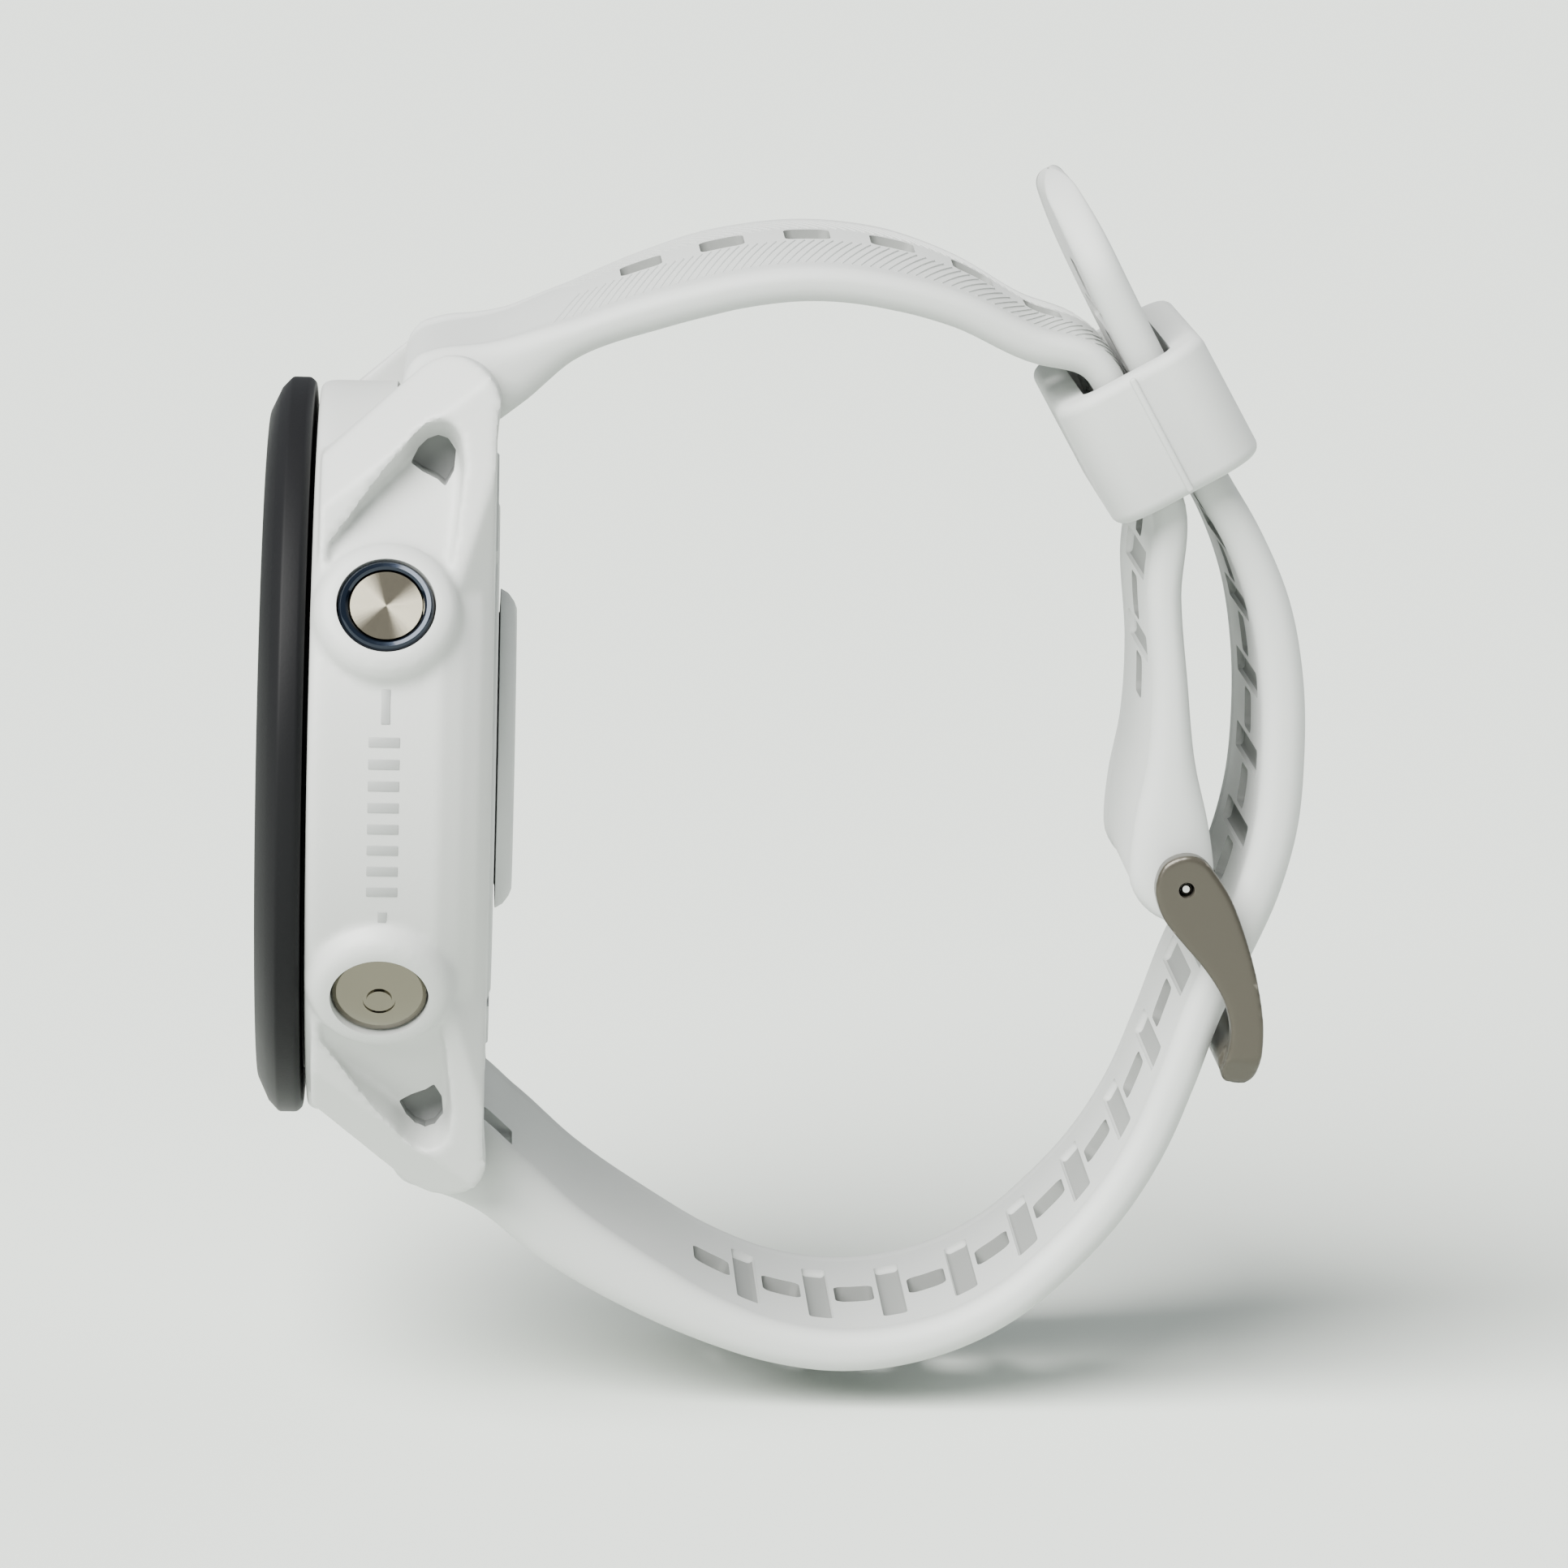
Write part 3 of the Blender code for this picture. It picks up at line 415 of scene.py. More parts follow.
def moulded_grain():
    """Fine moulded surface: a height for Bump and a roughness that drifts a little."""
    group, given, result = start_group(
        "Moulded grain",
        (("Scale", "NodeSocketFloat", 3000.0), ("Roughness", "NodeSocketFloat", 0.5),
         ("Drift", "NodeSocketFloat", 0.06)),
        (("Height", "NodeSocketFloat"), ("Roughness", "NodeSocketFloat")))
    coords = node(group, "ShaderNodeTexCoord")
    fine = node(group, "ShaderNodeTexNoise", [("Vector", coords.outputs["Object"]),
                                              ("Scale", given.outputs["Scale"]), ("Detail", 3.0)])
    slow = node(group, "ShaderNodeTexNoise", [("Vector", coords.outputs["Object"]), ("Scale", 160.0),
                                              ("Detail", 4.0)])
    centred = node(group, "ShaderNodeMath", [(0, slow.outputs["Fac"]), (1, 0.5)], operation="SUBTRACT")
    wide = node(group, "ShaderNodeMath", [(0, centred.outputs[0]), (1, given.outputs["Drift"]),
                                          (2, given.outputs["Roughness"])], operation="MULTIPLY_ADD")
    group.links.new(fine.outputs["Fac"], result.inputs["Height"])
    group.links.new(wide.outputs[0], result.inputs["Roughness"])
    return group


def handling_tint():
    """Slow cloudy change between a clean colour and a slightly handled one."""
    group, given, result = start_group(
        "Handling tint",
        (("Clean", "NodeSocketColor", None), ("Handled", "NodeSocketColor", None),
         ("Scale", "NodeSocketFloat", 60.0), ("Amount", "NodeSocketFloat", 0.5)),
        (("Color", "NodeSocketColor"),))
    coords = node(group, "ShaderNodeTexCoord")
    cloud = node(group, "ShaderNodeTexNoise", [("Vector", coords.outputs["Object"]),
                                               ("Scale", given.outputs["Scale"]), ("Detail", 5.0)])
    mask = node(group, "ShaderNodeMapRange", [("Value", cloud.outputs["Fac"]), ("From Min", 0.42),
                                              ("From Max", 0.68), ("To Max", given.outputs["Amount"])])
    mixed = node(group, "ShaderNodeMix", [("Factor", mask.outputs["Result"])], data_type="RGBA")
    group.links.new(given.outputs["Clean"], mixed.inputs[6])
    group.links.new(given.outputs["Handled"], mixed.inputs[7])
    group.links.new(mixed.outputs[2], result.inputs["Color"])
    return group


def edge_wear_and_highlight():
    """Mask of the convex edges, broken up, where a coating wears lighter and a painted highlight lightens
    the edges.
    """
    group, given, result = start_group(
        "Edge wear and painted highlight", (("Low", "NodeSocketFloat", 0.52), ("High", "NodeSocketFloat", 0.62)),
        (("Mask", "NodeSocketFloat"),))
    shape = node(group, "ShaderNodeNewGeometry")
    coords = node(group, "ShaderNodeTexCoord")
    patchy = node(group, "ShaderNodeTexNoise", [("Vector", coords.outputs["Object"]), ("Scale", 900.0)])
    spread = node(group, "ShaderNodeMapRange", [("Value", shape.outputs["Pointiness"]),
                                                ("From Min", given.outputs["Low"]),
                                                ("From Max", given.outputs["High"])])
    broken = node(group, "ShaderNodeMath", [(0, spread.outputs["Result"]), (1, patchy.outputs["Fac"])],
                  operation="MULTIPLY")
    group.links.new(broken.outputs[0], result.inputs["Mask"])
    return group


def brushed_lines():
    """Fine parallel lines along one axis, for drawn and brushed metal."""
    group, given, result = start_group(
        "Brushed lines", (("Stretch", "NodeSocketVector", (60.0, 4000.0, 4000.0)),),
        (("Height", "NodeSocketFloat"),))
    coords = node(group, "ShaderNodeTexCoord")
    stretched = node(group, "ShaderNodeVectorMath", [(0, coords.outputs["Object"]),
                                                     (1, given.outputs["Stretch"])], operation="MULTIPLY")
    lines = node(group, "ShaderNodeTexNoise", [("Vector", stretched.outputs[0]), ("Scale", 1.0),
                                               ("Detail", 2.0)])
    group.links.new(lines.outputs["Fac"], result.inputs["Height"])
    return group


GROUPS = {}


def effect(name):
    makers = {"grain": moulded_grain, "tint": handling_tint, "wear_and_highlight": edge_wear_and_highlight, "brushed": brushed_lines}
    if name not in GROUPS:
        GROUPS[name] = makers[name]()
    return GROUPS[name]


def use_effect(tree, name, values):
    item = tree.nodes.new("ShaderNodeGroup")
    item.node_tree = effect(name)
    for label, value in values.items():
        item.inputs[label].default_value = value
    return item


def opaque(rgb):
    return (*rgb, 1.0)


def finish(name, rgb, roughness, metallic=0.0, handled=None, amount=0.35, cloud=60.0, grain=3200.0,
           depth=0.00002, drift=0.08, wear_and_highlight=None, brushed=None, **shader_values):
    """Material: base colour with a slow tint, grain or brushed relief, and convex edges made lighter as
    wear and painted highlight.
    """
    mat = bpy.data.materials.new(name)
    mat.use_nodes = True
    mat.diffuse_color = opaque(rgb)
    tree = mat.node_tree
    shader = tree.nodes["Principled BSDF"]
    shader.inputs["Metallic"].default_value = metallic
    for label, value in shader_values.items():
        shader.inputs[label.replace("_", " ").title().replace("Ior", "IOR")].default_value = value
    handled = handled or tuple(c * 0.93 for c in rgb)
    tint = use_effect(tree, "tint", {"Clean": opaque(rgb), "Handled": opaque(handled), "Scale": cloud,
                                     "Amount": amount})
    base = tint.outputs["Color"]
    # convex edges made lighter: wear and painted highlight
    if wear_and_highlight:
        worn_and_lit = use_effect(tree, "wear_and_highlight", {"Low": wear_and_highlight[1], "High": wear_and_highlight[2]})
        mixed = node(tree, "ShaderNodeMix", [("Factor", worn_and_lit.outputs["Mask"]), (6, base),
                                             (7, opaque(wear_and_highlight[0]))], data_type="RGBA")
        base = mixed.outputs[2]
    tree.links.new(base, shader.inputs["Base Color"])
    surface = use_effect(tree, "grain", {"Scale": grain, "Roughness": roughness, "Drift": drift})
    tree.links.new(surface.outputs["Roughness"], shader.inputs["Roughness"])
    height = surface.outputs["Height"]
    if brushed:
        height = use_effect(tree, "brushed", {"Stretch": brushed}).outputs["Height"]
    bump = node(tree, "ShaderNodeBump", [("Height", height), ("Strength", 0.35), ("Distance", depth)])
    tree.links.new(bump.outputs["Normal"], shader.inputs["Normal"])
    return mat


def sunray_finish(name, rgb, direction, base):
    """Radially brushed disc: fine lines that follow the angle round its middle, and two bright and two dark
    bands of painted reflection in its colour.
    """
    mat = finish(name, rgb, 0.24, metallic=1.0, drift=0.05, depth=0.000006, anisotropic=0.6)
    tree = mat.node_tree
    shader = tree.nodes["Principled BSDF"]
    turn = Vector(direction).rotation_difference(Vector((0, 1, 0))).to_matrix()
    shift = -(turn @ (Vector(base) * MM))
    coords = node(tree, "ShaderNodeTexCoord")
    centred = node(tree, "ShaderNodeMapping", [("Vector", coords.outputs["Object"]),
                                               ("Rotation", turn.to_euler()), ("Location", shift)])
    parts = node(tree, "ShaderNodeSeparateXYZ", [(0, centred.outputs[0])])
    angle = node(tree, "ShaderNodeMath", [(0, parts.outputs["Z"]), (1, parts.outputs["X"])],
                 operation="ARCTAN2")
    doubled = node(tree, "ShaderNodeMath", [(0, angle.outputs[0]), (1, 2.0)], operation="MULTIPLY")
    # two bright and two dark bands round the disc: painted reflection of the brushing
    painted_reflection_bands = node(tree, "ShaderNodeMath", [(0, doubled.outputs[0])], operation="SINE")
    scratches = node(tree, "ShaderNodeMath", [(0, angle.outputs[0]), (1, 46.0)], operation="MULTIPLY")
    fine = node(tree, "ShaderNodeTexNoise", [("W", scratches.outputs[0]), ("Scale", 1.0), ("Detail", 4.0)],
                noise_dimensions="1D")
    level = node(tree, "ShaderNodeMath", [(0, fine.outputs["Fac"]), (1, 0.9), (2, painted_reflection_bands.outputs[0])],
                 operation="MULTIPLY_ADD")
    ramp = node(tree, "ShaderNodeValToRGB")
    # ramp from the dark to the bright bands of painted reflection
    for stop, share in ((0, 0.13), (1, 1.1)):
        ramp.color_ramp.elements[stop].color = opaque(tuple(min(c * share, 1.0) for c in rgb))
    spread = node(tree, "ShaderNodeMapRange", [("Value", level.outputs[0]), ("From Min", -0.10),
                                               ("From Max", 1.05)])
    tree.links.new(spread.outputs["Result"], ramp.inputs["Fac"])
    tree.links.new(ramp.outputs["Color"], shader.inputs["Base Color"])
    bump = shader.inputs["Normal"].links[0].from_node
    tree.links.new(fine.outputs["Fac"], bump.inputs["Height"])
    return mat


def strap_finish(name, rgb):
    """Matte silicone with a fine moulded grain."""
    return finish(name, rgb, 0.62, handled=tuple(c * f for c, f in zip(rgb, (0.93, 0.925, 0.90))),
                  amount=0.3, cloud=45.0, grain=2600.0, depth=0.00003, drift=0.12, sheen_weight=0.12,
                  sheen_roughness=0.4)


def clear_glass(name):
    """Lightly tinted glass, with a faint smear that only changes its roughness."""
    mat = bpy.data.materials.new(name)
    mat.use_nodes = True
    tree = mat.node_tree
    shader = tree.nodes["Principled BSDF"]
    for label, value in (("Base Color", (0.30, 0.31, 0.32, 1.0)), ("Metallic", 0.0), ("IOR", 1.42),
                         ("Transmission Weight", 1.0), ("Specular IOR Level", 0.3)):
        shader.inputs[label].default_value = value
    smear = use_effect(tree, "grain", {"Scale": 90.0, "Roughness": 0.012, "Drift": 0.02})
    tree.links.new(smear.outputs["Roughness"], shader.inputs["Roughness"])
    return mat


def dress(piece, mat):
    piece.data.materials.clear()
    piece.data.materials.append(mat)
    return piece


MADE = {}


def finishes():
    """One material for each slot of the record and a few for details, made once."""
    if MADE:
        return MADE
    tone = colours()
    white = tuple(tone.case)
    MADE.update({
        "case_white": finish("case white", white, 0.46, grain=3600.0, depth=0.000025, amount=0.22,
                             handled=tuple(c * f for c, f in zip(white, (0.95, 0.95, 0.93)))),
        "cover_white": finish("cover white", tuple(tone.cover), 0.5, grain=4200.0, amount=0.25),
        "strap_silicone": strap_finish("strap silicone", tuple(tone.strap)),
        # the bezel's convex edges are lighter: wear and painted highlight
        "bezel_black": finish("bezel black", tuple(tone.bezel), 0.48, grain=5200.0, depth=0.000018,
                              wear_and_highlight=((0.030, 0.030, 0.031), 0.52, 0.66), specular_ior_level=0.09),
        "window_glass": clear_glass("window glass"),
        "display_black": finish("display black", (0.006, 0.007, 0.009), 0.3, drift=0.05,
                                depth=0.0, specular_ior_level=0.05),
        "sensor_glass": finish("sensor glass", (0.016, 0.014, 0.014), 0.08, drift=0.03, coat_weight=1.0,
                               coat_roughness=0.04, depth=0.000002),
        "seal_rubber": finish("seal rubber", (0.03, 0.03, 0.03), 0.78),
        "inner_plastic": finish("inner plastic", (0.06, 0.06, 0.065), 0.55),
        "circuit_board": finish("circuit board", (0.02, 0.13, 0.06), 0.42, cloud=500.0,
                                handled=(0.05, 0.20, 0.10), amount=0.7),
        "battery_foil": finish("battery foil", (0.58, 0.59, 0.61), 0.34, metallic=0.7, grain=700.0,
                               depth=0.00006),
        "steel": finish("steel", (0.62, 0.62, 0.61), 0.26, metallic=1.0, brushed=(60.0, 5000.0, 5000.0)),
        "brass": finish("brass", (0.78, 0.60, 0.28), 0.30, metallic=1.0, brushed=(3000.0, 60.0, 3000.0)),
        # the contacts' convex edges are lighter: wear and painted highlight
        "contact_gold": finish("contact gold", (0.95, 0.70, 0.33), 0.22, metallic=1.0,
                               wear_and_highlight=((1.0, 0.85, 0.55), 0.5, 0.6)),
        "antenna_copper": finish("antenna copper", (0.78, 0.47, 0.32), 0.35, metallic=1.0),
        "button_metal": finish("button metal", tuple(tone.button), 0.13, metallic=1.0, grain=5200.0,
                               depth=0.000003, drift=0.08),
        "ring_blue": finish("ring blue", tuple(tone.ring), 0.12, metallic=0.7, coat_weight=0.35,
                            coat_roughness=0.05, depth=0.000002),
        # the buckle's convex edges are lighter: wear and painted highlight
        "buckle_metal": finish("buckle metal", tuple(tone.buckle), 0.30, metallic=0.5, grain=2400.0,
                               depth=0.000010, wear_and_highlight=((0.30, 0.275, 0.23), 0.53, 0.70)),
        "marks": finish("side marks", tuple(tone.marks), 0.5, grain=3600.0),
        "dial_marks": finish("dial marks", (0.30, 0.31, 0.32), 0.45),
        "led_green": finish("led lens", (0.10, 0.20, 0.12), 0.15, coat_weight=1.0),
        # darker grey for the lugs' deep eyes: painted shade
        "recess_painted_shade": finish("recess painted shade", (0.27, 0.28, 0.275), 0.6),
        # darker grey for the walls of the strap's slots: painted shade
        "slot_painted_shade": finish("slot wall painted shade", (0.25, 0.26, 0.25), 0.7),
    })
    return MADE


# ---------------------------------------------------------------- case

def lug(side, level):
    """Lug with a round tip, a slanted front edge, a side that leans in and a bevelled back edge."""
    tip = arc((BAR_Y, BAR_Z), LUG_TIP_R, 180 - LUG_SLOPE - 14, 12, 9)
    outline = [(-1.5, 12.0), (-12.2, 12.0), (-12.2, 20.2)] + tip + [(-1.5, 21.4)]
    if level < 0:
        outline = mirrored(outline)
    piece = prism("lug", outline, side * LUG_INNER_X, side * 20.0)
    lean = math.atan(0.36)
    trim(piece, (side * 18.7, 0, level * 14.0), (side * math.cos(lean), 0, level * math.sin(lean)))
    trim(piece, (side * 15.6, -11.7, level * 19.2), (side * 0.59, -0.387, level * 0.708))
    return trim(piece, (side * 16.5, -1.45, level * 20.8), (side * 0.70, 0.71, level * 0.03))


def lug_window(side, level):
    """Flaring hollow in a lug's outer side; its floor leans out towards the button."""
    outline = [(-10.3, 14.6), (-10.1, 15.6), (-6.8, 19.7), (-6.2, 20.7), (-5.6, 21.2), (-5.0, 21.3),
               (-4.4, 21.1), (-4.0, 20.4), (-3.9, 19.0), (-4.5, 14.2)]
    if level < 0:
        outline = mirrored(outline)
    piece = draw_face("lug_window", [(side * 13.2, y, z) for y, z in outline])
    bpy.ops.object.mode_set(mode="EDIT")
    bpy.ops.mesh.select_all(action="SELECT")
    bpy.ops.mesh.extrude_region_move(TRANSFORM_OT_translate={"value": (side * 3.2 * MM, 0, 0)})
    bpy.ops.transform.resize(value=(1, 1.30, 1.42), center_override=(0, -5.4 * MM, level * 16.2 * MM))
    bpy.ops.mesh.extrude_region_move(TRANSFORM_OT_translate={"value": (side * 9.0 * MM, 0, 0)})
    bpy.ops.object.mode_set(mode="OBJECT")
    close_up(piece)
    lean = math.atan(0.74)
    return trim(piece, (side * 14.4, 0, level * 19.4), (-side * math.cos(lean), 0, -level * math.sin(lean)))


def lug_pocket(side, level):
    """Deep eye at the narrow end of a lug's hollow."""
    outline = [(-6.75, 19.9), (-6.3, 20.8), (-5.75, 21.35), (-5.1, 21.6), (-4.5, 21.4), (-4.0, 20.7),
               (-4.1, 19.5), (-4.6, 18.6), (-5.1, 19.0), (-6.0, 19.4)]
    if level < 0:
        outline = mirrored(outline)
    piece = prism("lug_pocket", outline, side * 12.0, side * 16.0)
    return soften(piece, 0.12 * MM, 2, 50)


def make_case_shell():
    size = sizes()
    profile = [(0, -12.6), (22.75, -12.6), (23.05, -12.2), (CASE_R, -11.4), (CASE_R, -4.6),
               (22.5, -3.3), (21.7, -2.2), (20.7, -1.45), (0, -1.45)]
    case = turned("case_shell", profile, size.turned_steps)
    for side in (1, -1):
        for level in (1, -1):
            combine(case, lug(side, level), "UNION")
            combine(case, lug_window(side, level))
    collar = [(0, 19.0), (4.75, 19.0), (4.6, 22.7), (4.4, 23.4), (4.0, 23.95), (3.4, 24.2), (0, 24.2)]
    for angle in BUTTONS.values():
        combine(case, turned("collar", collar, 64, radial(angle), (0, BUTTON_Y, 0)), "UNION")
    with_modifier(case, "REMESH", mode="VOXEL", voxel_size=size.voxel)
    with_modifier(case, "SMOOTH", factor=0.5, iterations=size.blend)
    cut_case(case)
    shade(case, 32)
    dress(case, finishes()["case_white"])
    paint_pocket_shade(case)
    return place(case, "case", "case_white", "case_middle")


def paint_pocket_shade(case):
    """Give the walls and floors of the lugs' deep eyes a darker grey material as painted shade, where the
    eyes are deep and dim.
    """
    case.data.materials.append(finishes()["recess_painted_shade"])
    for face in case.data.polygons:
        x, y, z = (abs(value) / MM for value in face.center)
        inside = 11.9 < x < 15.6 and 4.0 < y < 6.8 and 18.4 < z < 21.7
        if inside and (abs(face.normal.x) < 0.2 or x < 12.3):
            face.material_index = 1


def cut_case(case):
    """Bays, button bores, strap pockets, spring bar holes and screw holes."""
    bays = [(0, 1.0), (19.3, 1.0), (19.3, -3.8), (16.0, -3.8), (16.0, -9.3), (20.8, -9.3), (20.8, -14.0),
            (0, -14.0)]
    combine(case, turned("bays", bays, sizes().turned_steps))
    bore = [(0, 15.0), (1.0, 15.0), (1.0, 21.2), (3.0, 21.2), (3.0, 24.0), (3.12, 24.9), (0, 24.9)]
    for angle in BUTTONS.values():
        combine(case, turned("bore", bore, 64, radial(angle), (0, BUTTON_Y, 0)))
    for level in (1, -1):
        base = (0, BAR_Y, level * BAR_Z)
        combine(case, rod("pocket", 3.6, -LUG_INNER_X, LUG_INNER_X, base=base, steps=64))
        combine(case, bar("relief", (2 * LUG_INNER_X, 9.0, 7.0), (0, BAR_Y + 4.4, level * 23.9)))
        combine(case, rod("bar_holes", 0.65, -13.4, 13.4, base=base, steps=24))
        for side in (1, -1):
            combine(case, lug_pocket(side, level))
    for angle in SCREW_ANGLES:
        spot = radial(angle) * SCREW_CIRCLE_R
        combine(case, rod("screw_hole", 0.7, -7.5, -3.3, (0, 1, 0), spot, 24))


def make_side_marks():
    """Two dashes and a row of plain bars moulded into the case's 3 o'clock side."""
    rows = [(-7.9, 6.1, 0.55, 2.1), (-7.9, -7.3, 0.55, 1.7)]            # (y, z, width, length)
    rows += [(-7.95, z, 1.9, 0.62) for z in np.linspace(4.0, -5.2, 8)]
    made = []
    for y, z, wide, long in rows:
        x = math.sqrt(CASE_R**2 - z**2)
        mark = bar("mark", (0.30, wide, long), (x - 0.11, y, z), corner=0.05, segments=2)
        made.append(lay_on_side(mark, (x, y, z)))
    marks = shade(join("side_marks", made))
    return place(dress(marks, finishes()["marks"]), "case", "case_white")


def lay_on_side(piece, point):
    """Lean a small mark about a point of the case's side, so that it lies along the side."""
    pivot = Vector(point) * MM
    lean = Matrix.Rotation(-math.asin(point[2] / CASE_R), 4, "Y")
    piece.matrix_world = Matrix.Translation(pivot) @ lean @ Matrix.Translation(-pivot)
    return settle(piece)


# ---------------------------------------------------------------- front

def make_bezel():
    profile = [(22.93, -12.9), (23.25, -13.26), (23.25, -14.38), (22.57, -15.02), (21.04, -15.73),
               (19.95, -15.66), (19.9, -13.6), (18.7, -13.6), (18.7, -11.6), (20.4, -11.6), (20.4, -12.9)]
    bezel = turned("bezel_ring", profile, sizes().turned_steps)
    soften(bezel, sizes().edge, 2, 20)
    shade(bezel, 24)
    return place(dress(bezel, finishes()["bezel_black"]), "case", "bezel_black", "bezel")


def make_glass():
    profile = [(0, -14.5), (19.6, -14.5), (19.6, -15.35), (19.4, -15.6), (0, -15.6)]
    glass = turned("front_glass", profile, sizes().turned_steps)
    soften(glass, 0.06 * MM, 2, 20)
    shade(glass, 30)
    return place(dress(glass, finishes()["window_glass"]), "case", "window_glass", "cover_lens")


def make_dial_marks():
    """Plain ring of minute marks on the unlit display, every fifth one longer."""
    marks = []
    for k in range(60):
        long_one = k % 5 == 0
        reach = 1.6 if long_one else 0.8
        mark = bar("tick", (reach, 0.05, 0.28 if long_one else 0.14), (DIAL_MARK_R - reach / 2, -14.33, 0))
        mark.rotation_euler = (0, math.radians(6 * k), 0)
        marks.append(settle(mark))
    ring = join("dial_marks", marks)
    return place(dress(shade(ring), finishes()["dial_marks"]), "case", "display_black")


# ---------------------------------------------------------------- back

def make_back_cover():
    profile = [(0, -3.1), (19.0, -3.1), (19.0, -1.7), (18.6, -1.3), (15.6, -1.3), (15.3, -1.18),
               (0, -1.18)]
    cover = turned("back_plate", profile, sizes().turned_steps)
    combine(cover, rod("neck", 8.8, -4, 0, (0, 1, 0), steps=128))
    port = [(x, z + PORT_Z) for x, z in round_box(7.8, 3.5, 0.8)]
    combine(cover, extrude(draw_face("port_recess", [(x, -4, z) for x, z in port]), (0, 5, 0)))
    hole = [(0, -4), (0.7, -4), (0.7, -2.2), (1.05, -2.2), (1.05, -1.3), (1.25, -1.0), (0, -1.0)]
    for angle in SCREW_ANGLES:
        combine(cover, turned("hole", hole, 32, (0, 1, 0), radial(angle) * SCREW_CIRCLE_R))
    soften(cover, 0.08 * MM, 2, 40)
    shade(cover, 30)
    return place(dress(cover, finishes()["cover_white"]), "case", "cover_white", "case_back")


def make_sensor():
    profile = [(7.12, 0), (8.9, 0), (9.35, -0.18), (9.85, -0.55), (10.15, -1.05), (8.6, -1.1),
               (8.6, -3.2), (7.6, -3.2), (7.6, -1.6), (6.4, -1.6), (6.4, -1.1), (7.12, -1.1)]
    housing = turned("sensor_bump", profile, sizes().turned_steps)
    soften(housing, 0.08 * MM, 2, 40)
    shade(housing, 40)
    place(dress(housing, finishes()["cover_white"]), "case", "cover_white", "sensor_housing")
    disc = turned("sensor_disc", [(0, -0.9), (7.0, -0.9), (7.0, -0.08), (6.92, 0), (0, 0)],
                  sizes().turned_steps)
    shade(disc, 30)
    place(dress(disc, finishes()["sensor_glass"]), "case", "sensor_glass", "sensor_window")
    dot = [(0, -0.3), (0.85, -0.3), (0.85, 0.012), (0.8, 0.02), (0, 0.02)]
    lenses = [turned("lens", dot, 40, (0, 1, 0), radial(60 * k) * 4.9) for k in range(6)]
    lenses.append(bar("led", (1.7, 0.3, 1.7), (0, -0.13, 0), corner=0.1))
    lens = join("sensor_lenses", lenses)
    return place(dress(shade(lens), finishes()["led_green"]), "case", "sensor_glass")


def make_screws():
    head = [(0, -6.6), (0.5, -6.6), (0.5, -2.0), (0.9, -2.0), (0.9, -1.62), (0.82, -1.55), (0, -1.55)]
    for k, angle in enumerate(SCREW_ANGLES):
        spot = radial(angle) * SCREW_CIRCLE_R
        screw = turned(f"cover_screw_{k + 1}", head, 48, (0, 1, 0), spot)
        star = turned("drive", [(0, -1.95), (0.42, -1.95), (0.42, -1), (0, -1)], 6, (0, 1, 0), spot)
        combine(screw, star)
        shade(screw, 30)
        place(dress(screw, finishes()["steel"]), "case", "steel", f"back_screw_{k + 1}")


# ---------------------------------------------------------------- buttons

def make_buttons():
    for label, angle in BUTTONS.items():
        base = (0, BUTTON_Y, 0)
        stem = [(0, 15.9), (0.7, 15.9), (0.7, 22.2), (2.78, 22.2)]
        if label == "start":
            cap = [(2.78, 22.6), (2.24, 22.6), (2.24, 24.06), (2.18, 24.12), (0, 24.12)]
            metal = sunray_finish("start disc", tuple(colours().button), radial(angle), base)
            ring = turned("start_ring", [(2.92, 22.8), (2.92, 23.95), (2.85, 24.2), (2.70, 24.34),
                                         (2.46, 24.32), (2.32, 24.16), (2.30, 22.8)],
                          sizes().button_steps, radial(angle), base)
            shade(ring, 40)
            place(dress(ring, finishes()["ring_blue"]), "button_start", "ring_blue", "button_start_ring")
        else:
            cap = [(2.93, 22.4), (2.93, 23.62), (2.86, 23.78), (2.6, 23.95), (2.1, 24.14), (1.5, 24.3),
                   (0.8, 24.41), (0, 24.45)]
            metal = finishes()["button_metal"]
        button = turned(f"cap_{label}", stem + cap, sizes().button_steps, radial(angle), base)
        if label == "back":
            groove = [(0.78, 24.28), (1.0, 24.28), (1.0, 24.8), (0.78, 24.8)]
            combine(button, turned("groove", groove, 64, radial(angle), base))
        shade(button, 24)
        place(dress(button, metal), f"button_{label}", "button_metal", f"button_{label}")


# ---------------------------------------------------------------- straps

def smooth_route(points, step):
    """Smooth curve through rows of values whose first two columns are a place, read every step."""
    rows = np.array(points, dtype=float)
    at = np.concatenate(([0.0], np.cumsum(np.linalg.norm(np.diff(rows[:, :2], axis=0), axis=1))))
    slope = np.gradient(rows, at, axis=0)
    result = []
    for distance in np.linspace(0.0, at[-1], round(at[-1] / step) + 1):
        k = min(int(np.searchsorted(at, distance, side="right")) - 1, len(at) - 2)
        span = at[k + 1] - at[k]
        t = (distance - at[k]) / span
        result.append((2 * t**3 - 3 * t**2 + 1) * rows[k] + (t**3 - 2 * t**2 + t) * span * slope[k]
                      + (3 * t**2 - 2 * t**3) * rows[k + 1] + (t**3 - t**2) * span * slope[k + 1])
    return np.array(result)


